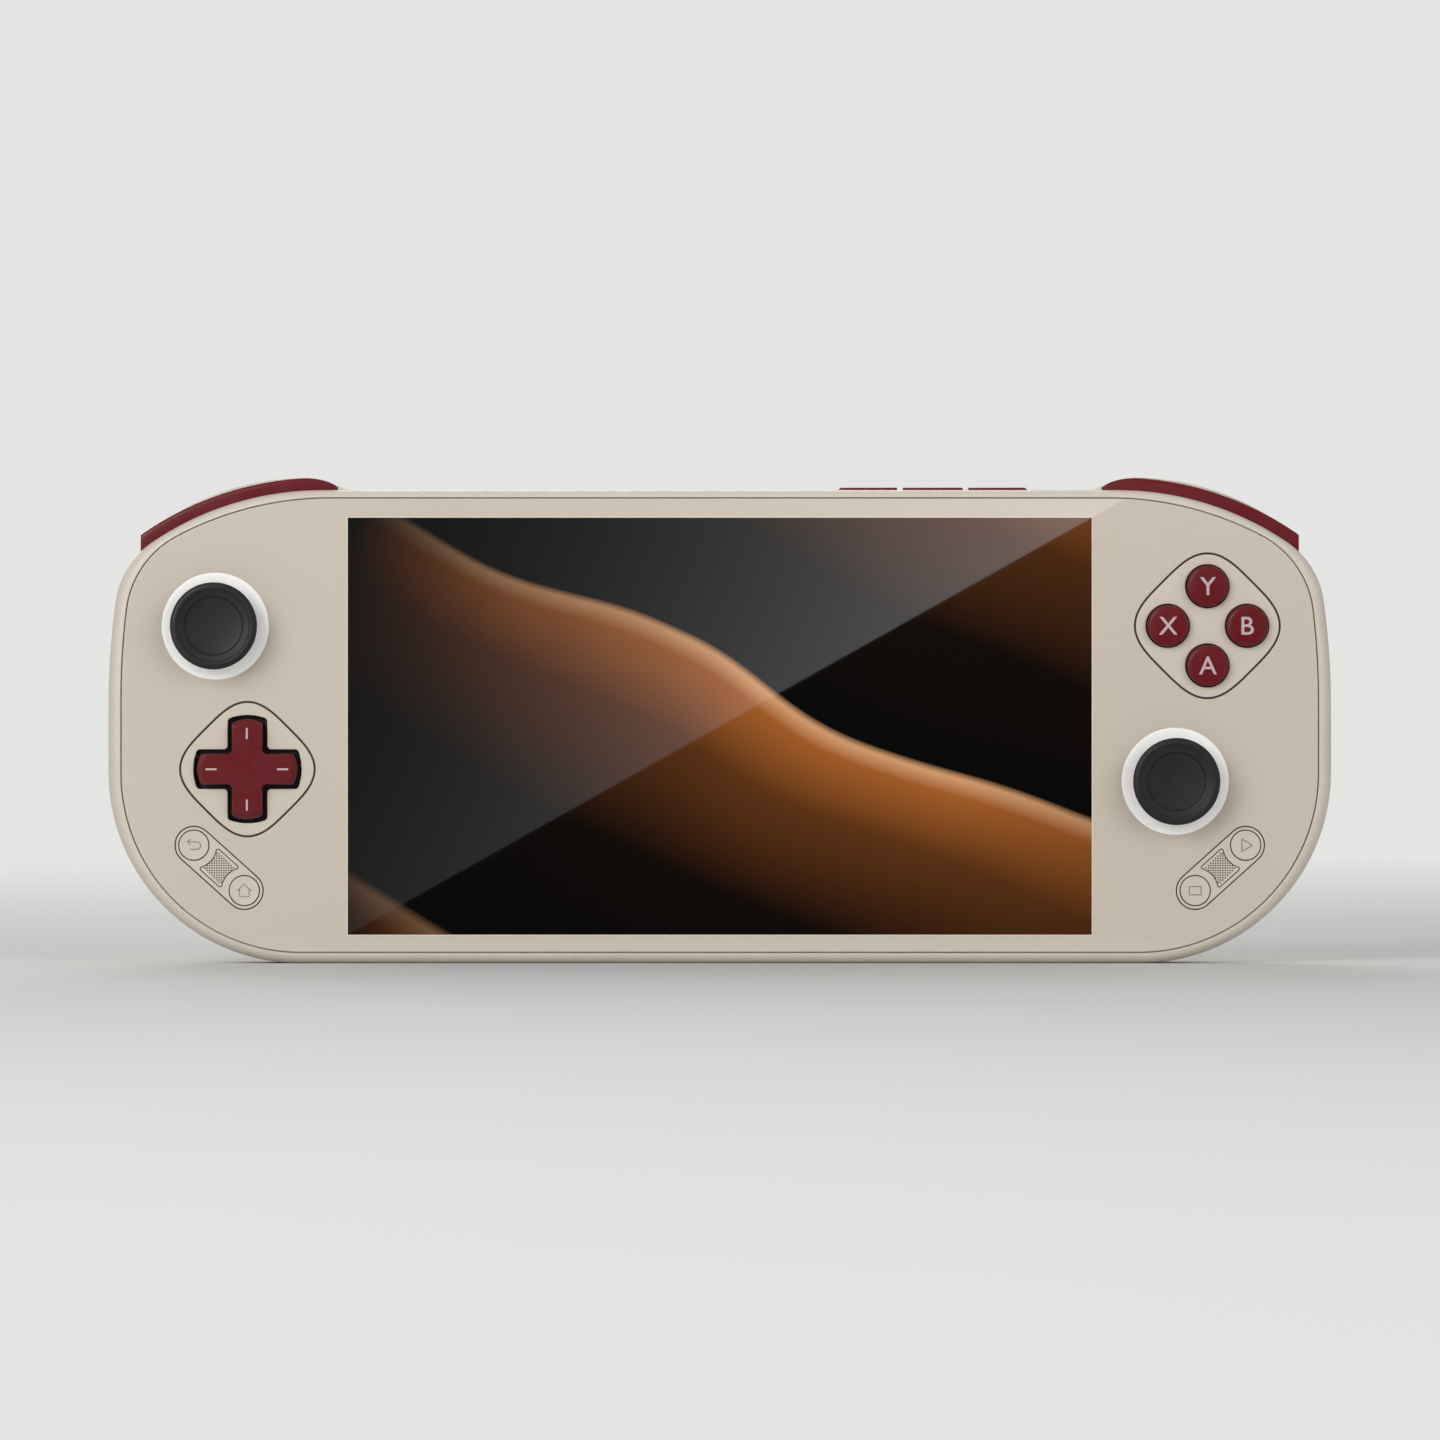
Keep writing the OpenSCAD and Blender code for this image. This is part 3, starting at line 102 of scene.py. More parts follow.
BODY_LO, BODY_HI = span("middle_frame")
GLASS_LO, GLASS_HI = span("front_glass")
Z_FRONT, Z_GLASS, Z_PART = GLASS_HI.z, GLASS_LO.z, BODY_LO.z
Z_PANEL = span("display_panel")[0].z
Z_PLATE = span("chassis_plate")[1].z - 0.8
Z_BACK = span("back_cover")[0].z
GLASS_GAP = 0.12

# Each outline: half width, lowest, highest, arcs up the side and over the top, arcs under
BODY = (BODY_HI.x, BODY_LO.y, BODY_HI.y, ((131, 8), (15, 56), (53, 90)), ((33.5, 90),))
SEAM = (
    GLASS_HI.x + GLASS_GAP, GLASS_LO.y - GLASS_GAP, GLASS_HI.y + GLASS_GAP,
    ((127, 7), (17, 62), (57, 90)), ((31.445, 90),),
)
TOP = BODY[2]
OUTLINE_STEP = 1.5
RIM_H, RIM_SHARE, FRAME_WALL, LEDGE = 2.6, 0.96, 1.6, 1.2
CHAMFER, COVER_STEP = 0.12, 0.12
BACK_ROUND, BACK_WALL, BACK_FLOOR = 5.0, 3, 1.4
BAY = (40.0, 92.77)
WINDOW = (-65.0, 65.0, 5.03, 77.9)
DIAMOND_POWER = 3.45
PILL_TURN = math.radians(42)
PILL_PITCH, PILL_W, PILL_R, PILL_HOLE = 11.87, 6.36, 2.565, 2.73
# Openings in the edges: width, depth and corner radius
VENT, VENT_PITCH, VENT_COUNT, VENT_FIRST, VENT_Z = (1.8, 3.1, 0.88), 3, 8, -11, -0.15
PORT, CARD, CARD_AT = (9.24, 3.56, 1.775), (12.4, 1.5, 0.3), (15, 1.5)
INTAKE_R, INTAKE_PITCH, INTAKE_W = 10.5, 2.9, 1.5
SCREWS = [(side * x, y) for side in (-1, 1) for x, y in ((99.5, 40), (73, 12), (62, 74))]
# Screw well: radius, height above the back
WELL = ((0, -1), (2.15, -1), (2.15, 0), (1.95, 0.2), (1.95, 1.15), (1, 1.15), (1, 2.4), (0, 2.4))
# Keys in the top edge, with the slant of their left and right end
KEYS = {"volume_down_key": (0.6, 0), "volume_up_key": (0, 0), "power_key": (0, 0.6)}
KEY_SLOT, KEY_CAP = (0.26, 0.66), (0.4, 0.8)  # in from the flange, across and towards the user
# Sections across the left shoulder: height above the outline, place towards the user
BUMPER = [
    (-2.2, -1.1), (1.55, -1.1), (2.12, -0.95), (2.3, -0.45), (2.3, 0.4), (2.3, 2.6), (2.3, 3.45),
    (2.12, 3.95), (1.55, 4.1), (-2.2, 4.1), (-2.2, 1.5),
]
TRIGGER = [
    (-3.0, -5.4), (-1.0, -8.9), (-0.6, -9.3), (0.2, -9.2), (1.08, -8.3), (1.69, -6.5), (1.8, -4.5),
    (1.69, -3.3), (1.19, -2.9), (-2.4, -2.9), (-3.0, -3.5),
]
BUMPER_ENDS, BUMPER_TAPER = (44.5, 39.85), 6.4
TRIGGER_ENDS, TRIGGER_PIN, TRIGGER_CUT = (53, 37.9), 1.9, 1.1
BROW_Z, BROW_RISE, BROW_ARCH, BROW_FOOT = (-2.4, -1.2), 2.25, 0.6, -4.4
FAIRING_RUN, FAIRING_RISE, FAIRING_Z = 3.1, 0.75, 3.9
RING_LAP, RING_BAND = 0.25, 3.2
# Rim of a stick cap from its neck to its dish: radius, drop below the top
CAP_RIM = (
    (3.0, 3.3), (3.25, 2.95), (6.6, 1.55), (7.3, 1.32), (7.5, 1.2), (7.58, 1.05), (7.6, 0.7), (7.55, 0.45),
    (7.42, 0.24), (7.2, 0.1), (6.95, 0.02), (6.7, 0), (6.5, 0.03), (6.35, 0.12), (6.22, 0.26), (6.0, 0.34),
    (5.55, 0.4), (5.28, 0.47), (5.08, 0.6), (4.92, 0.82),
)
CAP_PIVOT, DISH_R = 6.5, 4.8
# Upper edge of the pad: drawn in at the tips, drawn in at the sides, drop below the top
PAD_EDGE = (
    (0, 0, 1.1), (0.05, 0.03, 0.95), (0.13, 0.06, 0.84), (0.66, 0.16, 0.09), (0.7, 0.18, 0.04),
    (0.78, 0.24, 0), (0.86, 0.34, 0),
)
PAD_MARK_AT = 6.24
BUTTON_R, BUTTON_ROUND, BUTTON_HOLE = 3.6, 0.62, 3.84
CAPITAL = 0.69  # height of a capital as a share of the type size
ICON_SCALE, ICON_LINE = 1.2, 0.2
EYE = 0.04255  # height of the camera in metres


# Outlines

def run(arcs, heading):
    """Sideways and upward run of a chain of arcs from heading 0."""
    x = y = start = 0.0
    for radius, end in arcs:
        stop = min(heading, end)
        if stop <= start:
            break
        a, b = math.radians(start), math.radians(stop)
        x += radius * (math.cos(a) - math.cos(b))
        y += radius * (math.sin(b) - math.sin(a))
        start = end
    return x, y


def flipped(loop, way=-1):
    """A loop mirrored from left to right where way is -1."""
    return [(x * way, y) for x, y in loop]


def mirrored(rings, way):
    """Rings of points mirrored from left to right where way is -1."""
    return [[(x * way, y, z) for x, y, z in ring] for ring in rings]


def raised(loop, z):
    return [(x, y, z) for x, y in loop]


def blended(a, b, share, z):
    """A loop part of the way from one to another, raised."""
    return [(p[0] + (q[0] - p[0]) * share, p[1] + (q[1] - p[1]) * share, z) for p, q in zip(a, b)]


def outline(shape, inset=0.0):
    """Closed outline of a shape, drawn in by inset, counter-clockwise from the right side."""
    half, low, high, up, down = shape
    up = [(r - inset, a) for r, a in up]
    down = [(r - inset, a) for r, a in down]
    y_up = high - inset - run(up, 90)[1]
    y_down = low + inset + run(down, 90)[1]
    top, under = [], []
    for k in range(round(90 / OUTLINE_STEP) + 1):
        x, y = run(up, k * OUTLINE_STEP)
        top.append((half - inset - x, y_up + y))
        x, y = run(down, k * OUTLINE_STEP)
        under.append((half - inset - x, y_down - y))
    return top + flipped(top[::-1]) + flipped(under) + under[::-1]


def shoulder(s, inset):
    """Point on the left shoulder: s up to 90 is a heading, past it a run along the top edge."""
    arcs = [(r - inset, a) for r, a in BODY[3]]
    x, y = run(arcs, min(s, 90))
    return inset - BODY[0] + x + max(0.0, s - 90), TOP - inset - run(arcs, 90)[1] + y


def station(x_in):
    """Run along the shoulder to a distance in from the left side."""
    past = x_in - BODY[0] - shoulder(90, 0)[0]
    return 90 + (past if past > 0 else math.degrees(math.asin(past / BODY[3][-1][0])))


def stations(s0, s1, step=1.5):
    """Runs along the shoulder, a step apart as far as the top edge."""
    knee = min(s1, 90)
    n = max(1, math.ceil((knee - s0) / step))
    return [s0 + (knee - s0) * k / n for k in range(n + 1)] + ([s1] if s1 > 90 else [])


def band(places, outer, inner):
    """Closed strip along the left shoulder between two insets."""
    return [shoulder(s, outer) for s in places] + [shoulder(s, inner) for s in reversed(places)]


def circle(at, radius, count=96):
    turns = [math.tau * k / count for k in range(count)]
    return [(at[0] + radius * math.cos(a), at[1] + radius * math.sin(a)) for a in turns]


def rounded_box(w, h, r, at=(0, 0), turn=0.0, steps=8):
    """Rectangle with round corners, turned about its middle."""
    loop = []
    for q in range(4):
        cx, cy = (w / 2 - r) * (1, -1, -1, 1)[q], (h / 2 - r) * (1, 1, -1, -1)[q]
        for k in range(steps + 1):
            a = QUARTER * (q + k / steps)
            loop.append((cx + r * math.cos(a), cy + r * math.sin(a)))
    c, s = math.cos(turn), math.sin(turn)
    return [(at[0] + x * c - y * s, at[1] + x * s + y * c) for x, y in loop]


def diamond(node):
    """Outline of a diamond plate: a square with full sides and soft corners, stood on a corner."""
    lo, hi = span(node)
    at = (lo + hi) / 2
    half = (hi.x - lo.x) / 2 * 2 ** (1 / DIAMOND_POWER) / math.sqrt(2)
    loop = []
    for c, s in circle((0, 0), 1):
        u = half * math.copysign(abs(c) ** (2 / DIAMOND_POWER), c)
        v = half * math.copysign(abs(s) ** (2 / DIAMOND_POWER), s)
        loop.append((at[0] + (u - v) / math.sqrt(2), at[1] + (u + v) / math.sqrt(2)))
    return loop


def cross(at, reach, half, bow, tip_r, inner_r):
    """Cross with bowed tips, rounded tip corners and rounded inner corners."""
    side, steps = [], 6
    for k in range(steps + 1):
        a = math.radians(135 - 45 * k / steps)
        side.append((half + inner_r * (1 + math.cos(a)), -half - inner_r * (1 - math.sin(a))))
    for k in range(steps + 1):
        a = math.radians(-90 + 78 * k / steps)
        side.append((reach - bow - tip_r * (1 - math.cos(a)), -half + tip_r * (1 + math.sin(a))))
    x0, y0 = side[-1]
    tip = [(x0 + (reach - x0) * (1 - t * t), -y0 * t) for t in (k / steps for k in range(1 - steps, steps))]
    arm = side + tip + [(x, -y) for x, y in reversed(side[1:])]
    quarters = ((1, 0), (0, 1), (-1, 0), (0, -1))
    return [(at.x + (x * c - y * s), at.y + (x * s + y * c)) for c, s in quarters for x, y in arm]


def offset(loop, d):
    """A loop drawn in by d, or let out where d is negative."""
    n = len(loop)
    area = sum(loop[i - 1][0] * loop[i][1] - loop[i][0] * loop[i - 1][1] for i in range(n))
    turn = 1 if area > 0 else -1
    moved = []
    for i in range(n):
        p, q, r = Vector(loop[i - 1]), Vector(loop[i]), Vector(loop[(i + 1) % n])
        u, v = (q - p).normalized(), (r - q).normalized()
        a, b = Vector((-u.y, u.x)), Vector((-v.y, v.x))
        m = (a + b) / max(0.4, 1 + a.dot(b))
        moved.append(tuple(q + m * d * turn))
    return moved


def softened(loop):
    """A closed loop with its corners cut twice."""
    for _ in range(2):
        pairs = list(zip(loop, loop[1:] + loop[:1]))
        loop = [
            (near * p[0] + (1 - near) * q[0], near * p[1] + (1 - near) * q[1])
            for p, q in pairs for near in (0.75, 0.25)
        ]
    return loop


# Meshes

class Shape:
    """Points and faces of a piece in the making, in millimetres."""

    def __init__(self):
        self.points, self.faces, self.marks = [], [], []

    def ring(self, points):
        first = len(self.points)
        self.points.extend(points)
        return list(range(first, first + len(points)))

    def level(self, loop, z):
        return self.ring(raised(loop, z))

    def face(self, corners, mark=0):
        self.faces.append(corners)
        self.marks.append(mark)

    def fill(self, rings, mark=0):
        """Flat face with holes: the first ring is its edge."""
        flat = [i for ring in rings for i in ring]
        loops = [[Vector(self.points[i]) for i in ring] for ring in rings]
        for tri in tessellate_polygon(loops):
            self.face([flat[i] for i in tri], mark)

    def wall(self, rings, closed=False):
        """Walls from ring to ring; a ring of one point is a pole."""
        for a, b in zip(rings, rings[1:] + rings[:1] if closed else rings[1:]):
            n = max(len(a), len(b))
            for i in range(n):
                j = (i + 1) % n
                quad = [a[i % len(a)], a[j % len(a)], b[j % len(b)], b[i % len(b)]]
                corners = list(dict.fromkeys(quad))
                if len(corners) > 2:
                    self.face(corners)

    def loft(self, loops, closed=False):
        """Skin over a row of loops, closed on itself or by a face at each end."""
        rings = [self.ring(loop) for loop in loops]
        self.wall(rings, closed)
        if not closed:
            self.face(rings[0])
            self.face(rings[-1])
        return self

    def prism(self, loop, z0, z1):
        return self.loft([raised(loop, z) for z in (z0, z1)])

    def shaft(self, loop, y0, y1):
        """Prism that runs upward, from a loop of x and z."""
        return self.loft([[(x, y, z) for x, z in loop] for y in (y0, y1)])

    def box(self, x0, x1, y0, y1, z0, z1):
        return self.prism([(x0, y0), (x1, y0), (x1, y1), (x0, y1)], z0, z1)

    def spin(self, profile, at, count=96, closed=False):
        """Turned piece about an axis towards the user, from (radius, height) pairs."""
        pole = [(at[0], at[1])]
        self.wall([self.level(circle(at, r, count) if r > 1e-6 else pole, z) for r, z in profile], closed)
        return self

    def slab(self, loops, z0, z1, edge, panes=()):
        """Plate with rounded front edges. Panes are loops flush with its front, in its second finish."""
        fronts, backs = [], []
        for i, loop in enumerate(loops):
            way = -1 if i else 1
            rings = [self.level(offset(loop, way * (edge + 0.04)), z1)]
            for k in range(5):
                a = QUARTER * k / 4
                inset, drop = edge * (1 - math.sin(a)), edge * (1 - math.cos(a))
                rings.append(self.level(offset(loop, way * inset), z1 - drop))
            rings.append(self.level(loop, z0))
            self.wall(rings)
            fronts.append(rings[0])
            backs.append(rings[-1])
        inner = [self.level(pane, z1) for pane in panes]
        self.fill(fronts + inner)
        for pane in inner:
            self.fill([pane], 1)
        self.fill(backs)
        return self

    def flat(self, loops, z0, z1):
        """Flat plate with square edges."""
        low, high = [[self.level(loop, z) for loop in loops] for z in (z0, z1)]
        for pair in zip(low, high):
            self.wall(pair)
        self.fill(low)
        self.fill(high)
        return self

    def stroke(self, path, width, z0, z1, closed=False):
        """Flat line of one width along a path."""
        if closed:
            return self.flat([offset(path, -width / 2), offset(path, width / 2)], z0, z1)
        sides = ([], [])
        for i, p in enumerate(path):
            a, b = Vector(path[max(0, i - 1)]), Vector(path[min(len(path) - 1, i + 1)])
            t = (b - a).normalized()
            n = Vector((-t.y, t.x)) * width / 2
            sides[0].append(tuple(Vector(p) - n))
            sides[1].append(tuple(Vector(p) + n))
        return self.flat([sides[0] + sides[1][::-1]], z0, z1)

    def mesh(self, name, angle=SHARP):
        bm = bmesh.new()
        verts = [bm.verts.new(row(*p)) for p in self.points]
        for corners, mark in zip(self.faces, self.marks):
            try:
                bm.faces.new([verts[i] for i in corners]).material_index = mark
            except ValueError:  # a sliver whose corners already carry a face
                continue
        bmesh.ops.remove_doubles(bm, verts=bm.verts, dist=2e-7)
        bmesh.ops.dissolve_degenerate(bm, edges=bm.edges, dist=1e-7)
        bmesh.ops.recalc_face_normals(bm, faces=bm.faces)
        data = bpy.data.meshes.new(name)
        bm.to_mesh(data)
        bm.free()
        smooth(data, angle)
        return data


def smooth(data, angle=SHARP):
    """Smooth shading, with the edges sharper than the angle kept."""
    data.polygons.foreach_set("use_smooth", [True] * len(data.polygons))
    data.set_sharp_from_angle(angle=math.radians(angle))


def put(name, data, *finishes):
    """A new object with its mesh and materials, at the origin."""
    obj = bpy.data.objects.new(name, data)
    bpy.context.scene.collection.objects.link(obj)
    for finish in finishes:
        data.materials.append(finish)
    return obj


def settle(obj, body, slot, *nodes):
    """Lets a finished piece ride on its body, in place of the solids it stands for."""
    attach(obj, body)
    if nodes:
        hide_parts(*nodes)


def piece(name, shape, finish, body, slot, *nodes, angle=SHARP):
    """A piece that needs no work beyond its shape."""
    settle(put(name, shape.mesh(name, angle), finish_of(finish)), body, slot, *nodes)


def dress(data, finish):
    data.materials.clear()
    data.materials.append(finish)


def evaluated(obj):
    """The object's mesh with its modifiers carried out, which are then removed."""
    bpy.context.view_layer.update()
    graph = bpy.context.evaluated_depsgraph_get()
    data = bpy.data.meshes.new_from_object(obj.evaluated_get(graph))
    obj.modifiers.clear()
    old, obj.data = obj.data, data
    data.name = obj.name
    bpy.data.meshes.remove(old)
    return data


def carve(obj, cutter, operation="DIFFERENCE"):
    """Takes the cutter's volume out of a piece, or adds it."""
    tool = put("cutter", cutter.mesh("cutter"))
    step = obj.modifiers.new("carve", "BOOLEAN")
    step.operation, step.solver, step.object = operation, "EXACT", tool
    data = evaluated(obj)
    if len(data.polygons) == 0:
        raise RuntimeError("nothing left of " + obj.name)
    bpy.data.objects.remove(tool)
    smooth(data)


def round_edges(obj, width, angle):
    """Rounds a piece's edges that are sharper than the angle."""
    step = obj.modifiers.new("round", "BEVEL")
    step.width, step.segments = width * MM, 3
    step.limit_method, step.angle_limit = "ANGLE", math.radians(angle)
    step.use_clamp_overlap = True
    smooth(evaluated(obj))


def trim(data, at, away):
    """Cuts a closed mesh off at a plane and closes it there."""
    bm = bmesh.new()
    bm.from_mesh(data)
    whole = bm.verts[:] + bm.edges[:] + bm.faces[:]
    cut = bmesh.ops.bisect_plane(bm, geom=whole, dist=1e-8, plane_co=at, plane_no=away, clear_outer=True)
    edges = [e for e in cut["geom_cut"] if isinstance(e, bmesh.types.BMEdge)]
    bmesh.ops.edgeloop_fill(bm, edges=edges)
    bmesh.ops.recalc_face_normals(bm, faces=bm.faces)
    bm.to_mesh(data)
    bm.free()


def face_user(data, x, y, z):
    """Stands a mesh that lies flat up to face the user, at a place."""
    data.transform(Matrix.Translation(row(x, y, z)) @ Matrix.Rotation(QUARTER, 4, "X"))


# Node trees

class Nodes:
    """A node tree in the making."""

    prefix = "ShaderNode"

    def __init__(self, tree):
        self.tree = tree

    def plug(self, socket, value):
        """Sets a socket, or links it to another socket or to a node's first output."""
        if isinstance(value, bpy.types.Node):
            value = value.outputs[0]
        if isinstance(value, bpy.types.NodeSocket):
            self.tree.links.new(value, socket)
        elif socket.type == "RGBA" and len(value) == 3:
            socket.default_value = (*value, 1)
        else:
            socket.default_value = value

    def node(self, kind, *values, feeds=None, **settings):
        """A node with its inputs given in order or, in feeds, by name or place."""
        new = self.tree.nodes.new(kind if kind.startswith("Shader") else self.prefix + kind)
        for name, value in settings.items():
            setattr(new, name, value)
        for key, value in [*enumerate(values), *(feeds or {}).items()]:
            if value is not None:
                self.plug(new.inputs[key], value)
        return new

    def math(self, operation, a, b=0.0):
        return self.node("ShaderNodeMath", a, b, operation=operation)


class Finish(Nodes):
    """A procedural material on the piece's own coordinates."""

    def __init__(self, name, **sockets):
        self.material = bpy.data.materials.new(name)
        self.material.use_nodes = True
        super().__init__(self.material.node_tree)
        self.shader = self.tree.nodes["Principled BSDF"]
        self.coords = self.node("TexCoord").outputs["Object"]
        self.set(**sockets)

    def set(self, **sockets):
        for name, value in sockets.items():
            self.plug(self.shader.inputs[name.replace("_", " ").title().replace("Ior", "IOR")], value)

    def end(self, shader):
        self.plug(self.tree.nodes["Material Output"].inputs[0], shader)

    def place(self, scale=(1, 1, 1), turn=(0, 0, 0), move=(0, 0, 0)):
        return self.node("Mapping", self.coords, move, turn, scale)

    def noise(self, size, detail=2.0, stretch=(1, 1, 1)):
        """Cloudy pattern whose patches are about size millimetres across."""
        feeds = {"Vector": self.place(stretch), "Scale": 1 / (size * MM), "Detail": detail}
        return self.node("TexNoise", feeds=feeds).outputs["Fac"]

    def level(self, value, low, high, start=0.0, end=1.0):
        return self.node("MapRange", value, start, end, low, high)

    def ramp(self, value, *stops):
        new = self.node("ValToRGB", value)
        bar = new.color_ramp.elements
        while len(bar) < len(stops):
            bar.new(0.5)
        for element, (at, colour) in zip(bar, stops):
            element.position, element.color = at, (*colour, 1)
        return new

    def mix(self, share, a, b):
        return self.node("Mix", data_type="RGBA", feeds={0: share, 6: a, 7: b}).outputs[2]

    def tones(self, pattern, colour, dark, light):
        """Two shades of a colour, blended over the middle of a pattern."""
        return self.mix(self.level(pattern, 0, 1, 0.3, 0.7), shade(colour, dark), shade(colour, light))

    def bump(self, height, depth):
        bump = self.node("Bump", feeds={"Strength": 1.0, "Distance": depth * MM, "Height": height})
        self.set(normal=bump)


def shade(colour, by):
    return tuple(max(0.0, c * by) for c in colour)


def moulded(name, colour, roughness, grain, depth, tint, **sockets):
    """Moulded plastic or rubber: a fine eroded grain, slow drifts of tone and uneven gloss."""
    f = Finish(name, **sockets)
    fine = f.noise(grain, 3)
    tone = f.tones(f.noise(14, 3), colour, 1 - tint, 1 + tint)
    speck = f.mix(f.level(fine, 0, 0.35, 0.45, 0.8), tone, shade(colour, 1 - 3 * tint))
    gloss = f.level(f.noise(2.5, 4), roughness - 0.06, roughness + 0.06, 0.3, 0.7)
    f.set(base_color=speck, roughness=gloss)
    f.bump(fine, depth)
    return f.material


def brushed(name, colour, roughness, along=(1, 30, 1)):
    """Metal with fine lines drawn along one way."""
    f = Finish(name, metallic=1.0)
    lines = f.noise(4, 5, along)
    tone = f.tones(lines, colour, 0.88, 1.12)
    patch = f.level(f.noise(9, 3), 0, 0.3, 0.5, 0.8)
    gloss = f.level(lines, roughness - 0.08, roughness + 0.1, 0.3, 0.7)
    f.set(base_color=f.mix(patch, tone, shade(colour, 0.8)), roughness=gloss)
    f.bump(lines, 0.004)
    return f.material


def circuit(name, mask, traces):
    """Solder mask over copper traces, with bare pads here and there."""
    f = Finish(name, coat_weight=0.4, coat_roughness=0.15)
    bricks = f.node("TexBrick", f.place((1, 1, 1), (QUARTER, 0, 0)), offset=0.37, feeds={
        "Scale": 1 / (2.4 * MM), "Mortar Size": 0.09,
        "Color1": mask, "Color2": shade(mask, 0.8), "Mortar": traces,
    })
    dots = f.node("TexVoronoi", feeds={"Vector": f.place(), "Scale": 1 / (1.7 * MM)})
    pad = f.math("LESS_THAN", dots.outputs["Distance"], 0.16)
    f.set(base_color=f.mix(pad, bricks.outputs["Color"], (0.75, 0.6, 0.3)),
          roughness=f.level(f.noise(1.5), 0.3, 0.45), metallic=pad)
    f.bump(bricks.outputs["Fac"], 0.02)
    return f.material


def glass_print(name, colour, line):
    """Sheet of glass printed from behind, with a thin pale line round the window."""
    f = Finish(name, coat_weight=1.0, coat_roughness=0.012, coat_ior=1.5, specular_ior_level=0.2)
    x0, x1, y0, y1 = WINDOW
    at = f.node("SeparateXYZ", f.coords).outputs
    across = f.math("SUBTRACT", f.math("ABSOLUTE", at[0]), x1 * MM)
    height = f.math("ABSOLUTE", f.math("SUBTRACT", at[2], (y0 + y1) / 2 * MM))
    up = f.math("SUBTRACT", height, (y1 - y0) / 2 * MM)
    edge = f.math("LESS_THAN", f.math("MAXIMUM", across, up), 0.16 * MM)
    speck = f.level(f.noise(0.16), 0, 0.25, 0.5, 0.85)
    tone = f.mix(speck, f.tones(f.noise(40, 3), colour, 0.985, 1.015), shade(colour, 0.9))
    f.set(base_color=f.mix(edge, tone, line), roughness=f.level(f.noise(1.2, 3), 0.42, 0.58))
    return f.material


def lit_screen(name, glow, pale):
    """Display under its glass, showing soft folds of light that fade into black."""
    black = (0.0, 0.0, 0.0)
    f = Finish(name, base_color=(0.003, 0.003, 0.003), specular_ior_level=0.5, emission_strength=1.0)
    folds = f.node(
        "TexWave", f.place((1, 1, 1), (0, math.radians(-24), 0), (0.031, 0, 0.012)),
        bands_direction="Z", wave_profile="SAW",
        feeds={"Scale": 5.2, "Distortion": 1.9, "Detail": 1.0, "Detail Scale": 2.2})
    silk = f.ramp(folds.outputs["Fac"], (0.0, black), (0.38, (0.004, 0.001, 0.0)),
                  (0.74, shade(glow, 0.3)), (0.93, glow), (0.98, pale), (1.0, shade(glow, 0.1)))
    far = f.node("TexGradient", f.place((9, 9, 9), (0, 0, 0), (-0.2, 0, -0.32)), gradient_type="SPHERICAL")
    light = f.level(far.outputs["Fac"], 0.0, 1.0, 0.14, 0.8)
    f.set(emission_color=f.mix(light, black, silk), roughness=f.level(f.noise(18), 0.015, 0.03))
    return f.material


class Tree(Nodes):
    """A geometry node tree with named inputs, the last of them its finish."""

    prefix = "GeometryNode"
    kinds = {float: "NodeSocketFloat", int: "NodeSocketInt", tuple: "NodeSocketVector"}

    def __init__(self, name, **inputs):
        super().__init__(bpy.data.node_groups.new(name, "GeometryNodeTree"))
        self.inputs, self.ids = inputs, []
        face = self.tree.interface
        face.new_socket("Geometry", in_out="INPUT", socket_type="NodeSocketGeometry")
        for key, value in inputs.items():
            kind = self.kinds.get(type(value), "NodeSocketMaterial")
            socket = face.new_socket(key.replace("_", " ").title(), in_out="INPUT", socket_type=kind)
            self.ids.append(socket.identifier)
        face.new_socket("Geometry", in_out="OUTPUT", socket_type="NodeSocketGeometry")
        self.start = self.tree.nodes.new("NodeGroupInput")
        self.end = self.tree.nodes.new("NodeGroupOutput")

    def __getitem__(self, key):
        return self.start.outputs[1 + list(self.inputs).index(key)]

    def lifted(self, geometry, height):
        return self.node("Transform", geometry, feeds={
            "Translation": self.node("ShaderNodeCombineXYZ", 0.0, 0.0, height)})

    def run(self, name, points, geometry):
        """Ends the tree, carries it out on loose points and returns the plain mesh as an object."""
        dressed = self.node("SetMaterial", self.node("RealizeInstances", geometry), None, self["finish"])
        self.plug(self.end.inputs[0], dressed)
        base = bpy.data.meshes.new(name)
        base.from_pydata(points, [], [])
        obj = put(name, base)
        step = obj.modifiers.new(name, "NODES")
        step.node_group = self.tree
        for identifier, value in zip(self.ids, self.inputs.values()):
            step[identifier] = value
        data = evaluated(obj)
        if not data.polygons:
            raise RuntimeError("no geometry in " + name)
        dress(data, self.inputs["finish"])
        smooth(data, 30)
        return obj


# What a user would change

def colour_of(name, text, default):
    return FloatVectorProperty(
        name=name, description=text, default=default, subtype="COLOR", min=0, max=1)


def length_of(name, text, default):
    return FloatProperty(
        name=name, description=text, default=default * MM, min=0, unit="LENGTH", precision=5)


class ConsoleColours(bpy.types.PropertyGroup):
    """Colours of the console's finishes"""

    shell: colour_of("Shell", "Moulded frame and back cover", (0.56, 0.505, 0.43))
    glass: colour_of("Glass print", "Print behind the front glass", (0.545, 0.485, 0.41))
    burgundy: colour_of("Burgundy", "Pad, buttons, keys, bumpers and triggers", (0.116, 0.0045, 0.0075))
    rubber: colour_of("Stick rubber", "Caps of the thumbsticks", (0.014, 0.014, 0.0145))
    ring: colour_of("Light ring", "Rings round the thumbsticks", (0.76, 0.75, 0.735))
    letters: colour_of("Letters", "Letters and marks on the buttons", (0.47, 0.36, 0.37))
    icons: colour_of("Icons", "Icons on the menu buttons", (0.24, 0.2, 0.16))
    glow: colour_of("Screen glow", "Light of the picture on the screen", (0.34, 0.1, 0.018))
    floor: colour_of("Floor", "Floor and background", (0.78, 0.78, 0.77))


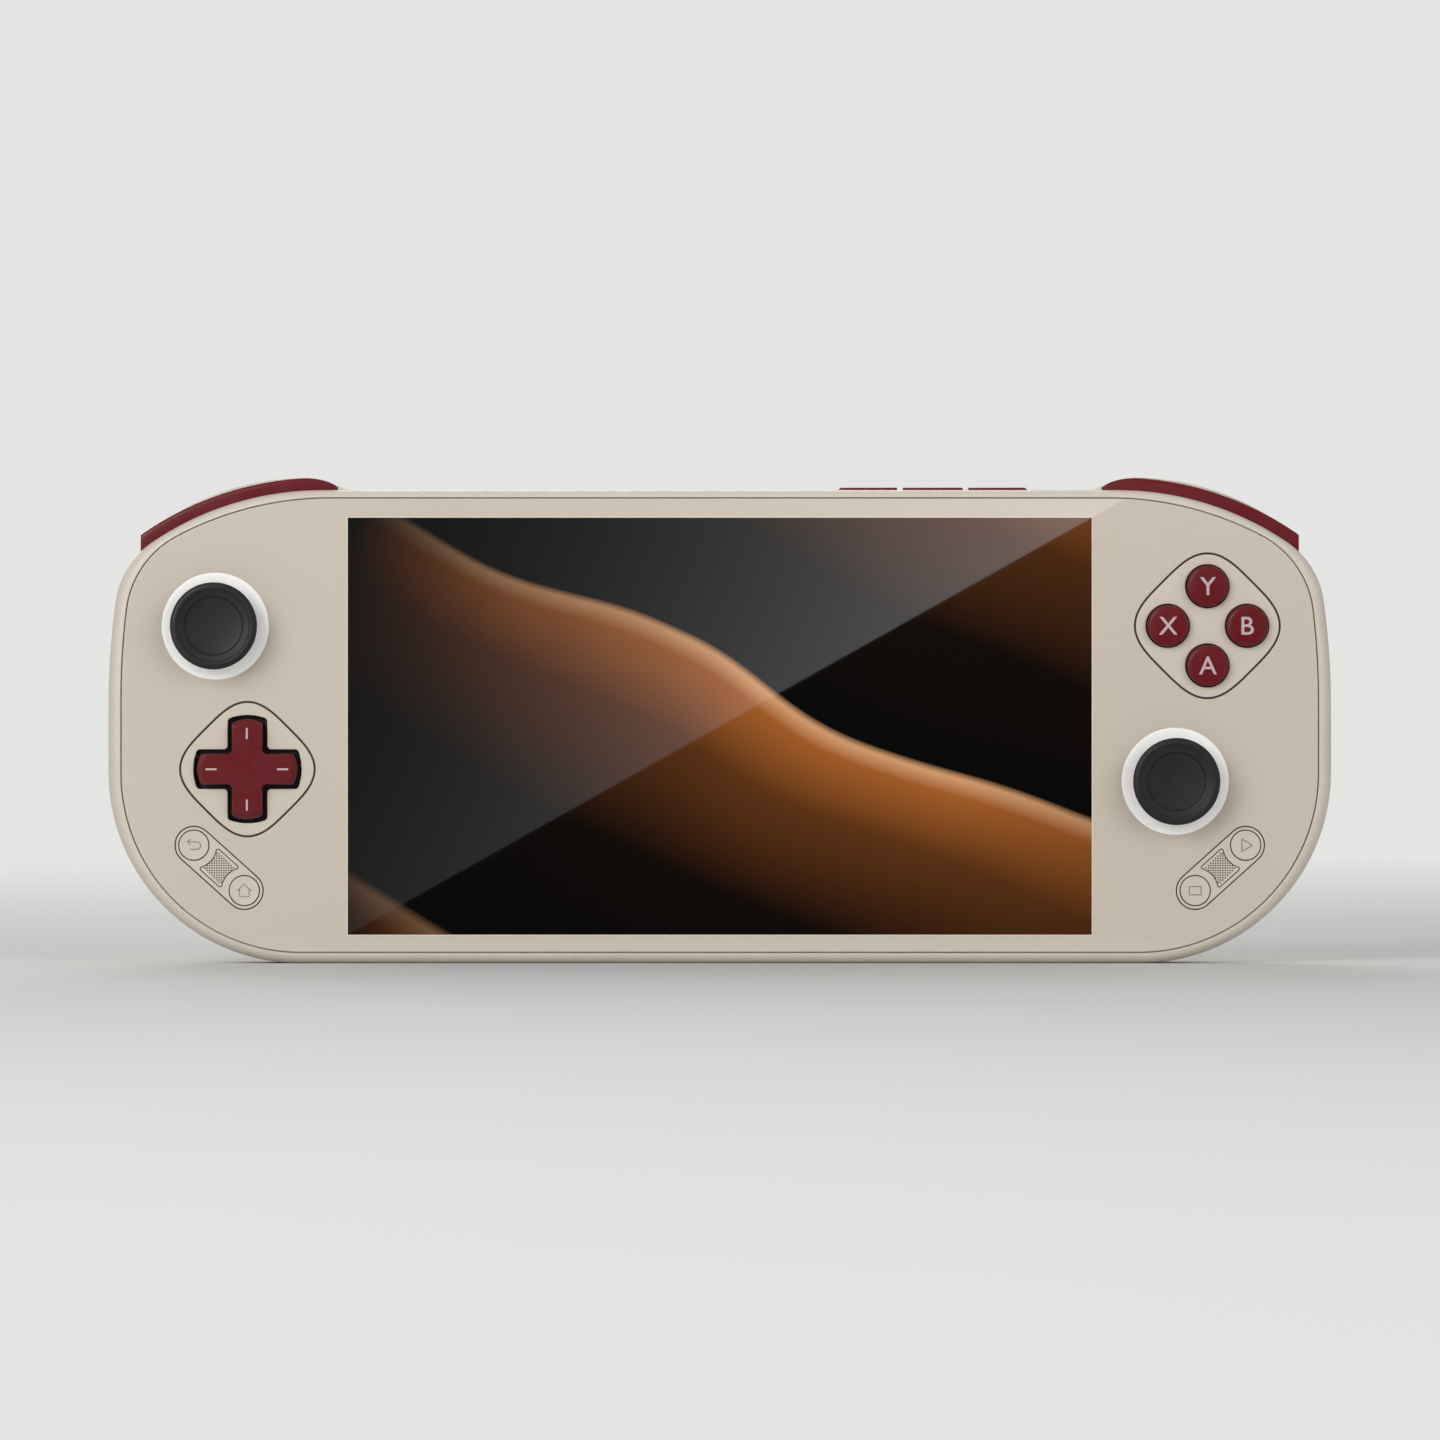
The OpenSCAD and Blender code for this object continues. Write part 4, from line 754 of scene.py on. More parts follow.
class ConsoleSizes(bpy.types.PropertyGroup):
    """Sizes of the console's fine details"""

    seam: length_of("Seam", "Gap round the glass and the inset plates", 0.2)
    edge: length_of("Edge", "Rounding of the glass edges", 0.12)
    letter: length_of("Letter height", "Height of the letters on the buttons", 3.1)
    dot: length_of("Grille hole", "Width of a hole in the speaker grille", 0.24)
    dot_pitch: length_of("Grille pitch", "Distance between two holes of the grille", 0.42)
    ridges: IntProperty(
        name="Cap ridges", description="Ridges round each stick cap", default=72, min=12, max=120)


class ConsoleLook(bpy.types.PropertyGroup):
    """Everything a user can change on the console"""

    colours: PointerProperty(type=ConsoleColours)
    sizes: PointerProperty(type=ConsoleSizes)


def look():
    return bpy.context.scene.console_look


def wide_seam():
    """Gap round the two diamond plates, in millimetres."""
    return 1.7 * look().sizes.seam / MM


@functools.cache
def finish_of(name):
    """A finish of this console, made when it is first asked for."""
    c = look().colours
    makers = {
        "shell": lambda: moulded("shell_plastic", c.shell, 0.44, 0.2, 0.005, 0.02),
        "inset": lambda: moulded("inset_plastic", shade(c.glass, 1.02), 0.4, 0.2, 0.004, 0.015),
        "glass": lambda: glass_print("printed_glass", c.glass, shade(c.glass, 1.25)),
        "screen": lambda: lit_screen("lit_screen", c.glow, (0.62, 0.32, 0.15)),
        "burgundy": lambda: moulded(
            "burgundy_plastic", c.burgundy, 0.34, 0.15, 0.002, 0.05, specular_ior_level=0.28),
        "rubber": lambda: moulded(
            "stick_rubber", c.rubber, 0.46, 0.12, 0.006, 0.08, specular_ior_level=0.3),
        "ring": lambda: moulded(
            "ring_diffuser", c.ring, 0.3, 0.3, 0.002, 0.012, coat_weight=0.3, coat_roughness=0.1,
            emission_color=c.ring, emission_strength=0.22),
        "letters": lambda: moulded("button_letters", c.letters, 0.42, 0.1, 0.002, 0.03),
        "icons": lambda: moulded("menu_icons", c.icons, 0.5, 0.1, 0.002, 0.03),
        # Dark finish of the painted shade strips in the seams round the inset plates, and of the outline
        # round the speaker grille.
        "line": lambda: moulded("seam_gasket", (0.03, 0.023, 0.016), 0.6, 0.12, 0.003, 0.08),
        "black": lambda: moulded("black_plastic", (0.018, 0.018, 0.019), 0.45, 0.18, 0.006, 0.1),
        "mat": lambda: moulded("contact_rubber", (0.16, 0.16, 0.165), 0.7, 0.3, 0.01, 0.06),
        "cell": lambda: moulded("battery_wrap", (0.035, 0.037, 0.04), 0.38, 0.6, 0.01, 0.08),
        "film": lambda: moulded(
            "cable_film", (0.36, 0.17, 0.05), 0.3, 0.5, 0.003, 0.06, coat_weight=0.5),
        "steel": lambda: brushed("drawn_steel", (0.56, 0.57, 0.58), 0.3),
        "dark_steel": lambda: brushed("blackened_steel", (0.09, 0.09, 0.092), 0.36),
        "alloy": lambda: brushed("plate_alloy", (0.62, 0.63, 0.65), 0.42, (1, 1, 24)),
        "copper": lambda: brushed("pipe_copper", (0.72, 0.38, 0.22), 0.32, (24, 1, 1)),
        "board": lambda: circuit("circuit_board", (0.012, 0.085, 0.05), (0.05, 0.2, 0.11)),
    }
    return makers[name]()


def stick_parts(*words):
    return [side + "_stick_" + word for side, _ in SIDES for word in words]


INNER = {
    "alloy": ("chassis_plate",),
    "board": ("main_board", "left_board", "right_board", "port_board"),
    "steel": ("usb_port", "dpad_ball", *stick_parts("rocker", "arch", "lever")),
    "cell": ("battery",),
    "copper": ("heat_sink",),
    "film": ("ribbon_cables",),
    "mat": ("dpad_mat", "face_mat"),
    "black": (
        "display_panel", "fan_housing", "fan_rotor", "left_speaker", "right_speaker",
        "dpad_disc", "dpad_post", *stick_parts("base", "hub"),
    ),
}


# Pieces

class CONSOLE_OT_inner_parts(bpy.types.Operator):
    """Finishes for the boards, the gimbals, the battery and the other parts inside"""

    bl_idname = "console.inner_parts"
    bl_label = "Inner parts"

    def execute(self, context):
        for name, nodes in INNER.items():
            for node in nodes:
                dress(frame["nodes"][node].data, finish_of(name))
        return {"FINISHED"}


def pill_plate(side):
    return centre("left_pill_plate" if side < 0 else "right_pill_plate")


def pill(side, along, across=0.0):
    """Place on a menu button plate: side -1 is the left one, along runs down its length."""
    at, c, s = pill_plate(side), math.cos(PILL_TURN), math.sin(PILL_TURN)
    x = along * c + across * s
    return at.x + (x if side < 0 else -x), at.y - along * s + across * c


def pill_loop(side, gap=0.0):
    """Outline of a menu button plate, let out by a gap."""
    length, width = PILL_PITCH + PILL_W + 2 * gap, PILL_W + 2 * gap
    return rounded_box(length, width, PILL_W / 2 + gap, pill_plate(side), PILL_TURN * side, 12)


class CONSOLE_OT_front_sheet(bpy.types.Operator):
    """One sheet of printed glass with its openings, and the screen in its window"""

    bl_idname = "console.front_sheet"
    bl_label = "Front sheet"

    def execute(self, context):
        gap, edge = look().sizes.seam / MM, look().sizes.edge / MM
        loops = [outline(SEAM, gap)]
        for side, _ in SIDES:
            lo, hi = span(side + "_light_ring")
            loops.append(circle((lo + hi) / 2, (hi.x - lo.x) / 2 - RING_LAP, 128))
        loops += [offset(diamond(node), -wide_seam()) for node in ("dpad_plate", "face_plate")]
        loops += [pill_loop(side, gap) for side in (-1, 1)]
        x0, x1, y0, y1 = WINDOW
        pane = [(x0, y0), (x1, y0), (x1, y1), (x0, y1)]
        data = Shape().slab(loops, Z_GLASS, Z_FRONT, edge, [pane]).mesh("front_sheet")
        sheet = put("front_sheet", data, finish_of("glass"), finish_of("screen"))
        settle(sheet, "case", "printed_glass", "front_glass")
        return {"FINISHED"}


class CONSOLE_OT_frame_ring(bpy.types.Operator):
    """Ring of the body with its rounded rim, key slots, outlet and port openings"""

    bl_idname = "console.frame_ring"
    bl_label = "Frame ring"

    def execute(self, context):
        body, seam = outline(BODY), outline(SEAM)
        ledge, inner = outline(SEAM, LEDGE), outline(BODY, FRAME_WALL)
        rings = [raised(outline(BODY, CHAMFER), Z_PART), raised(body, Z_PART + CHAMFER)]
        for k in range(13):
            a = QUARTER * k / 12
            share, z = (1 - math.cos(a)) * RIM_SHARE, Z_FRONT - RIM_H + RIM_H * math.sin(a)
            rings.append(blended(body, seam, share, z))
        rings += [raised(seam, Z_FRONT - 0.09), raised(seam, Z_GLASS), raised(ledge, Z_GLASS)]
        rings += [raised(ledge, Z_PANEL), raised(inner, Z_PANEL), raised(inner, Z_PART)]
        ring = put("frame_ring", Shape().loft(rings, closed=True).mesh("frame_ring"), finish_of("shell"))
        cutter = Shape()
        bay = band(stations(*BAY), -3, FRAME_WALL + 1)
        for _, way in SIDES:
            cutter.prism(flipped(bay, way), Z_PART - 1, Z_PLATE)
        for key in KEYS:
            lo, hi = span(key)
            x, z = KEY_SLOT
            cutter.box(lo.x + x, hi.x - x, TOP - 4, TOP + 1, lo.z + z, hi.z - z)
        fan, port = centre("fan_housing"), centre("usb_port")
        for k in range(VENT_COUNT):
            at = (fan.x + VENT_FIRST + VENT_PITCH * k, VENT_Z)
            cutter.shaft(rounded_box(*VENT, at), TOP - 4, TOP + 1)
        for size, at in ((PORT, (port.x, port.z)), (CARD, CARD_AT)):
            cutter.shaft(rounded_box(*size, at), -1, FRAME_WALL + 1)
        carve(ring, cutter)
        settle(ring, "case", "shell", "middle_frame")
        return {"FINISHED"}


class CONSOLE_OT_back_shell(bpy.types.Operator):
    """Back cover with rounded edges, fan intake and screw wells"""

    bl_idname = "console.back_shell"
    bl_label = "Back shell"

    def execute(self, context):
        body, flat, pocket = [outline(BODY, inset) for inset in (COVER_STEP, BACK_ROUND, BACK_WALL)]
        rings = [raised(outline(BODY, BACK_ROUND + 0.6), Z_BACK)]
        for k in range(14):
            a = QUARTER * (1 - k / 14)
            z = Z_PART - (Z_PART - Z_BACK) * math.sin(a)
            rings.append(blended(body, flat, 1 - math.cos(a), z))
        rings += [raised(body, Z_PART - CHAMFER), raised(outline(BODY, COVER_STEP + CHAMFER), Z_PART)]
        floor = Z_BACK + BACK_FLOOR
        rings += [raised(pocket, Z_PART), raised(pocket, floor)]
        shell = put("back_shell", Shape().loft(rings).mesh("back_shell"), finish_of("shell"))
        cutter = Shape()
        bay = band(stations(BAY[0] - 1, BAY[1] + 0.15), -2, 5.05)
        for _, way in SIDES:
            cutter.prism(flipped(bay, way), Z_BACK - 1, Z_PART + 1)
        fan = centre("fan_housing")
        for k in range(-3, 4):
            length = 2 * math.sqrt(INTAKE_R ** 2 - (INTAKE_PITCH * k) ** 2)
            slot = rounded_box(length, INTAKE_W, 0.745, (fan.x, fan.y + INTAKE_PITCH * k))
            cutter.prism(slot, Z_BACK - 1, floor + 1)
        for at in SCREWS:
            cutter.spin([(r, Z_BACK + z) for r, z in WELL], at, 40)
        carve(shell, cutter)
        settle(shell, "case", "shell", "back_cover")
        return {"FINISHED"}


class CONSOLE_OT_case_screws(bpy.types.Operator):
    """Screws in the back cover, with coned heads and a six-sided socket"""

    bl_idname = "console.case_screws"
    bl_label = "Case screws"

    def execute(self, context):
        tree = Tree("screw_set", head=1.8 * MM, rise=0.95 * MM, socket=0.75 * MM, shank=0.85 * MM,
                    length=7.0 * MM, finish=finish_of("dark_steel"))
        crown = tree.math("MULTIPLY", tree["head"], 0.86)
        head = tree.node("MeshCone", 28, 2, 1, crown, tree["head"], tree["rise"], fill_type="NGON")
        pit = tree.node("MeshCylinder", 6, 1, 1, tree["socket"], tree["rise"])
        pit = tree.lifted(pit, tree.math("MULTIPLY", tree["rise"], 0.95))
        cut = tree.node("MeshBoolean", head, pit, operation="DIFFERENCE")
        shank = tree.node("MeshCylinder", 16, 6, 1, tree["shank"], tree["length"])
        shank = tree.lifted(shank, tree.math("MULTIPLY", tree["length"], -0.5))
        whole = tree.node("JoinGeometry")
        for part in (cut, shank):
            tree.plug(whole.inputs[0], part)
        turned = tree.node("Transform", whole, feeds={"Rotation": (-QUARTER, 0, 0)})
        spread = tree.node("InstanceOnPoints", tree.start, None, turned)
        screws = tree.run("back_screws", [row(x, y, Z_BACK + 1.1) for x, y in SCREWS], spread)
        settle(screws, "case", "steel", "case_screws")
        return {"FINISHED"}


def bumper_rise(s):
    """Share of the bumper's height that is left towards its inner end."""
    start = station(BUMPER_ENDS[1] - BUMPER_TAPER)
    u = min(1.0, max(0.0, (s - start) / (station(BUMPER_ENDS[1]) - start)))
    return math.sqrt(1 - (0.95 * u) ** 2)


def rib(s, rise, foot, z0, z1):
    """Section of a rib along the left shoulder, its upper corners rounded."""
    return [(*shoulder(s, -d), z) for d, z in (
        (foot, z0), (rise - 0.3, z0), (rise - 0.09, z0 + 0.09), (rise, z0 + 0.3), (rise, z1 - 0.3),
        (rise - 0.09, z1 - 0.09), (rise - 0.3, z1), (foot, z1))]


class CONSOLE_OT_shoulders(bpy.types.Operator):
    """Shoulder inserts: the wall of the bay, the brow over the bumper and its run-out on the top edge"""

    bl_idname = "console.shoulders"
    bl_label = "Shoulders"

    def execute(self, context):
        low, high = BROW_Z
        end, edge = BAY[1] - 0.15, span("left_bumper")[0].x + 0.1
        start = next(s for s in stations(BUMPER_ENDS[0], 60, 0.2) if shoulder(s, -2.3)[0] > edge)
        brow = []
        for s in stations(start, 90, 1.2) + [91, 92, end]:
            full = max(0.0, math.sin(math.pi * (s - start) / (end - start))) ** 1.2
            eased = 1 - 0.4 * max(0.0, 1 - (s - start) / 2.4) ** 2
            rise = (BROW_RISE * bumper_rise(s) + BROW_ARCH * full) * eased
            brow.append(rib(s, rise, BROW_FOOT, low, high))
        fairing = [
            rib(BAY[1] + FAIRING_RUN * t, FAIRING_RISE * (1 - t) ** 1.7 - 0.02, -1.0, low, FAIRING_Z)
            for t in (k / 8 for k in range(9))
        ]
        old_rib = band(stations(38, end + 1), -4, 0.3)
        wall = band(stations(BAY[0] + 0.2, end), 3.84, 4.8)
        for side, way in SIDES:
            node = side + "_shoulder"
            bm = bmesh.new()
            bm.from_mesh(frame["nodes"][node].data)
            bmesh.ops.remove_doubles(bm, verts=bm.verts, dist=1e-7)
            data = bpy.data.meshes.new(side + "_bay")
            bm.to_mesh(data)
            bm.free()
            bay = put(side + "_bay", data)
            carve(bay, Shape().prism(flipped(old_rib, way), low - 0.5, high + 0.5))
            carve(bay, Shape().prism(flipped(wall, way), Z_BACK + 0.15, low + 0.6), "UNION")
            carve(bay, Shape().loft(mirrored(brow, way)), "UNION")
            dress(bay.data, finish_of("shell"))
            settle(bay, "case", "shell", node)
            piece(side + "_fairing", Shape().loft(mirrored(fairing, way)), "shell", "case", "shell")
        return {"FINISHED"}


def covers(word, rings, cuts, width):
    """Left and right cover of a swinging control, cut off by planes and with its edges rounded."""
    for side, way in SIDES:
        node = side + word
        data = Shape().loft(mirrored(rings, way)).mesh(node + "_cover")
        for at, away in cuts:
            trim(data, row(at[0] * way, at[1], 0), Vector((away[0] * way, 0, away[1])))
        cover = put(node + "_cover", data, finish_of("burgundy"))
        round_edges(cover, width, 50)
        settle(cover, node, "burgundy", node)


class CONSOLE_OT_bumpers(bpy.types.Operator):
    """Bumpers that follow the shoulders of the body"""

    bl_idname = "console.bumpers"
    bl_label = "Bumpers"

    def execute(self, context):
        profile = softened(BUMPER)
        first, end = BUMPER_ENDS
        places = stations(first, station(end - BUMPER_TAPER), 1.2)
        for k in range(1, 15):
            places.append(station(end - BUMPER_TAPER * (1 - math.sin(QUARTER * k / 14))))
        rings = []
        for s in places:
            rise = bumper_rise(s)
            rings.append([(*shoulder(s, -d * rise if d > 0 else -d), z) for d, z in profile])
        covers("_bumper", rings, [((span("left_bumper")[0].x, 0), (-1, 0))], 0.3)
        return {"FINISHED"}


class CONSOLE_OT_triggers(bpy.types.Operator):
    """Triggers behind the bumpers, their tails past the back"""

    bl_idname = "console.triggers"
    bl_label = "Triggers"

    def execute(self, context):
        profile = softened(TRIGGER)
        out = Vector(shoulder(TRIGGER_ENDS[0], TRIGGER_PIN))
        inner = Vector(shoulder(station(TRIGGER_ENDS[1]), TRIGGER_PIN))
        along = (inner - out).normalized()
        rings = [[(*shoulder(s, -d), z) for d, z in profile] for s in stations(44, station(40.9), 1.2)]
        cuts = [(out + along * TRIGGER_CUT, -along), (inner - along * TRIGGER_CUT, along)]
        covers("_trigger", rings, cuts, 0.35)
        return {"FINISHED"}


class CONSOLE_OT_top_keys(bpy.types.Operator):
    """Three keys in the top edge, the outer ends slanted"""

    bl_idname = "console.top_keys"
    bl_label = "Top keys"

    def execute(self, context):
        for key, (left, right) in KEYS.items():
            lo, hi = span(key)
            x0, x1, foot = lo.x + KEY_CAP[0], hi.x - KEY_CAP[0], lo.y + 0.45
            face = [(x0, foot), (x1, foot), (x1, TOP), (x1 - right, hi.y), (x0 + left, hi.y), (x0, TOP)]
            shape = Shape().prism(face, lo.z + KEY_CAP[1], hi.z - KEY_CAP[1])
            shape.box(lo.x, hi.x, lo.y, lo.y + 0.9, lo.z, hi.z)
            cap = put(key + "_cap", shape.mesh(key + "_cap"), finish_of("burgundy"))
            round_edges(cap, 0.16, 35)
            settle(cap, key, "burgundy", key)
        return {"FINISHED"}


class CONSOLE_OT_light_rings(bpy.types.Operator):
    """Milky rings round the thumbsticks"""

    bl_idname = "console.light_rings"
    bl_label = "Light rings"

    def execute(self, context):
        for side, _ in SIDES:
            node = side + "_light_ring"
            lo, hi = span(node)
            r, top = (hi.x - lo.x) / 2, hi.z
            bore = r - RING_BAND
            profile = [(bore, lo.z), (r - 0.3, lo.z), (r - 0.3, top)]
            profile += [(r - 0.06, top), (r - 0.08, top + 0.05)]
            profile += [(r - 0.2 - 2.4 * t, top + 0.07 - 0.41 * t * t) for t in (k / 8 for k in range(9))]
            profile += [(bore + 0.3, top - 0.45), (bore + 0.08, top - 0.56), (bore, top - 0.75)]
            shape = Shape().spin(profile, (lo + hi) / 2, 160, closed=True)
            piece(side + "_glow_ring", shape, "ring", "case", "light_ring", node)
        return {"FINISHED"}


class CONSOLE_OT_stick_caps(bpy.types.Operator):
    """Rubber caps of the thumbsticks: dish, stepped rim with ridges, neck and dome"""

    bl_idname = "console.stick_caps"
    bl_label = "Stick caps"

    def execute(self, context):
        for side, _ in SIDES:
            node, body = side + "_stick_cap", side + "_stick"
            lo, hi = span(node)
            at, top, pivot = (lo + hi) / 2, hi.z, Z_FRONT - CAP_PIVOT
            profile = [(0, top - 2.4), (1.2, top - 2.4)]
            for r, first, last in ((6.9, 10, 62), (7.4, 62, 24)):
                for k in range(13):
                    a = math.radians(first + (last - first) * k / 12)
                    profile.append((r * math.sin(a), pivot + r * math.cos(a)))
            profile += [(r, top - drop) for r, drop in CAP_RIM]
            for k in range(1, 15):
                t = 1 - k / 14
                profile.append((DISH_R * t, top - 1.2 + 0.34 * t ** 2))
            shape = Shape().spin(profile, at, 144)
            piece(side + "_cap", shape, "rubber", body, "stick_rubber", node, angle=TURNED)
            tree = Tree("rim_ridges", count=look().sizes.ridges, radius=7.5 * MM,
                        size=(0.16 * MM, 0.16 * MM, 0.55 * MM), finish=finish_of("rubber"))
            hoop = tree.node("MeshCircle", tree["count"], tree["radius"])
            ridge = tree.node("MeshCylinder", 6, 1, 1, 0.5, 1.0)
            sized = tree.node("Transform", ridge, feeds={"Scale": tree["size"]})
            spread = tree.node("InstanceOnPoints", hoop, None, sized)
            ridges = tree.run(side + "_rim_ridges", [(0, 0, 0)], spread)
            face_user(ridges.data, at.x, at.y, top - 0.82)
            settle(ridges, body, "stick_rubber")
        return {"FINISHED"}


def seam_shade_strip(name, loop, width):
    """Painted shade: a dark strip at the bottom of the seam round an inset plate, standing in for the shade
    in the gap.
    """
    shape = Shape().flat([offset(loop, 0.02 - width), offset(loop, -0.02)], Z_GLASS, Z_FRONT - 0.26)
    piece(name, shape, "line", "case", "black_plastic")


class CONSOLE_OT_direction_pad(bpy.types.Operator):
    """Direction pad: inset plate with its well, and the cross with its marks"""

    bl_idname = "console.direction_pad"
    bl_label = "Direction pad"

    def execute(self, context):
        at, rim = centre("dpad_plate"), diamond("dpad_plate")
        shape = Shape().slab([rim, cross(at, 9.45, 3.45, 0.45, 0.7, 0.7)], Z_PANEL, Z_FRONT, 0.14)
        piece("dpad_inset", shape, "inset", "case", "inset_plate", "dpad_plate")
        # Painted shade in the seam round the plate: a dark strip at its bottom.
        seam_shade_strip("dpad_seam_shade", rim, wide_seam())
        lo, hi = span("dpad_cross")
        pad = Shape()
        steps = [(0, 0, lo.z)] + [(tip, side, hi.z - drop) for tip, side, drop in PAD_EDGE]
        rings = [
            pad.level(cross(at, 8.75 - tip, 2.7 - side, 0.5, 0.55, 0.85 + side), z)
            for tip, side, z in steps
        ]
        pad.wall(rings)
        pad.fill([rings[0]])
        pad.fill([rings[-1]])
        piece("pad_cross", pad, "burgundy", "dpad", "burgundy", "dpad_cross")
        marks = Shape()
        for k, place in enumerate(circle(at, PAD_MARK_AT, 4)):
            marks.flat([rounded_box(1.96, 0.34, 0.1, place, QUARTER * k, 4)], hi.z - 0.05, hi.z + 0.015)
        piece("pad_marks", marks, "letters", "dpad", "burgundy")
        return {"FINISHED"}


def letters(name, text, height, at, z, finish):
    """Plain capital letter lying on a button."""
    curve = bpy.data.curves.new(name, "FONT")
    curve.body, curve.align_x, curve.align_y = text, "CENTER", "CENTER"
    curve.size, curve.extrude, curve.offset = height / CAPITAL * MM, 0.02 * MM, 0.03 * MM
    curve.resolution_u = 6
    obj = put(name, curve)
    bpy.context.view_layer.update()
    data = bpy.data.meshes.new_from_object(obj.evaluated_get(bpy.context.evaluated_depsgraph_get()))
    bpy.data.objects.remove(obj)
    bpy.data.curves.remove(curve)
    lo, hi = [Vector([pick(v.co[k] for v in data.vertices) for k in range(3)]) for pick in (min, max)]
    data.transform(Matrix.Translation(-(lo + hi) / 2))
    face_user(data, at[0], at[1], z)
    data.name = name
    smooth(data, 30)
    return put(name, data, finish)


class CONSOLE_OT_face_buttons(bpy.types.Operator):
    """Four face buttons in their inset plate, with plain capital letters"""

    bl_idname = "console.face_buttons"
    bl_label = "Face buttons"

    def execute(self, context):
        rim = diamond("face_plate")
        holes = [circle(centre(n + "_button"), BUTTON_HOLE) for n in "abxy"]
        shape = Shape().slab([rim] + holes, Z_PANEL, Z_FRONT, 0.14)
        piece("face_inset", shape, "inset", "case", "inset_plate", "face_plate")
        # Painted shade in the seam round the plate: a dark strip at its bottom.
        seam_shade_strip("face_seam_shade", rim, wide_seam())
        for n in "abxy":
            node = n + "_button"
            lo, hi = span(node)
            at, top, foot, r = (lo + hi) / 2, hi.z, lo.z, BUTTON_R
            profile = [(0, foot), (4.4, foot), (4.4, foot + 0.8), (r, foot + 0.8), (r, top - 0.72)]
            for k in range(1, 9):
                a = QUARTER * k / 8
                inset, rise = BUTTON_ROUND * (1 - math.cos(a)), 0.64 * math.sin(a)
                profile.append((r - inset, top - 0.72 + rise))
            for k in range(1, 9):
                t = 1 - k / 8
                profile.append(((r - BUTTON_ROUND) * t, top - 0.08 * t ** 2))
            shape = Shape().spin(profile, at)
            piece(node + "_cap", shape, "burgundy", node, "burgundy", node, angle=TURNED)
            height = look().sizes.letter / MM
            letter = letters(node + "_letter", n.upper(), height, at, top - 0.005, finish_of("letters"))
            settle(letter, node, "burgundy")
        return {"FINISHED"}


def grille_loop(side):
    """Outline of a speaker grille: hollow towards the two buttons, its four tips rounded."""
    half_l, half_w, hollow, tip = 2.72, 2.42, 3.9, 0.3
    far = half_l + math.sqrt(hollow ** 2 - half_w ** 2)
    v = half_w - tip
    u = far - math.sqrt((hollow + tip) ** 2 - v ** 2)
    reach = math.atan2(v, far - u)
    end = []
    for k in range(9):
        a = -QUARTER + (reach + QUARTER) * k / 8
        end.append((u + tip * math.cos(a), -v + tip * math.sin(a)))
    for k in range(1, 12):
        a = reach * (k / 6 - 1)
        end.append((far - hollow * math.cos(a), hollow * math.sin(a)))
    end += [(x, -y) for x, y in reversed(end[:9])]
    return [pill(side, x * way, y * way) for way in (1, -1) for x, y in end]


def icon_lines(node):
    """Lines of a menu icon, and whether they close: a turned arrow, a house, a triangle or a square."""
    if node == "back_button":
        turns = [QUARTER - math.pi * k / 10 for k in range(11)]
        bend = [(0.45 + 0.55 * math.cos(a), -0.05 + 0.55 * math.sin(a)) for a in turns]
        return [[(-0.9, 0.5)] + bend + [(-0.6, -0.6)], [(-0.5, 0.95), (-0.95, 0.5), (-0.5, 0.05)]], False
    if node == "home_button":
        roof = [(-1.05, -0.05), (0, 0.95), (1.05, -0.05)]
        return [roof, [(-0.7, 0.2), (-0.7, -0.85), (0.7, -0.85), (0.7, 0.2)]], False
    if node == "play_button":
        return [[(-0.55, -0.9), (0.95, 0), (-0.55, 0.9)]], True
    return [[(-0.85, -0.6), (0.85, -0.6), (0.85, 0.6), (-0.85, 0.6)]], True


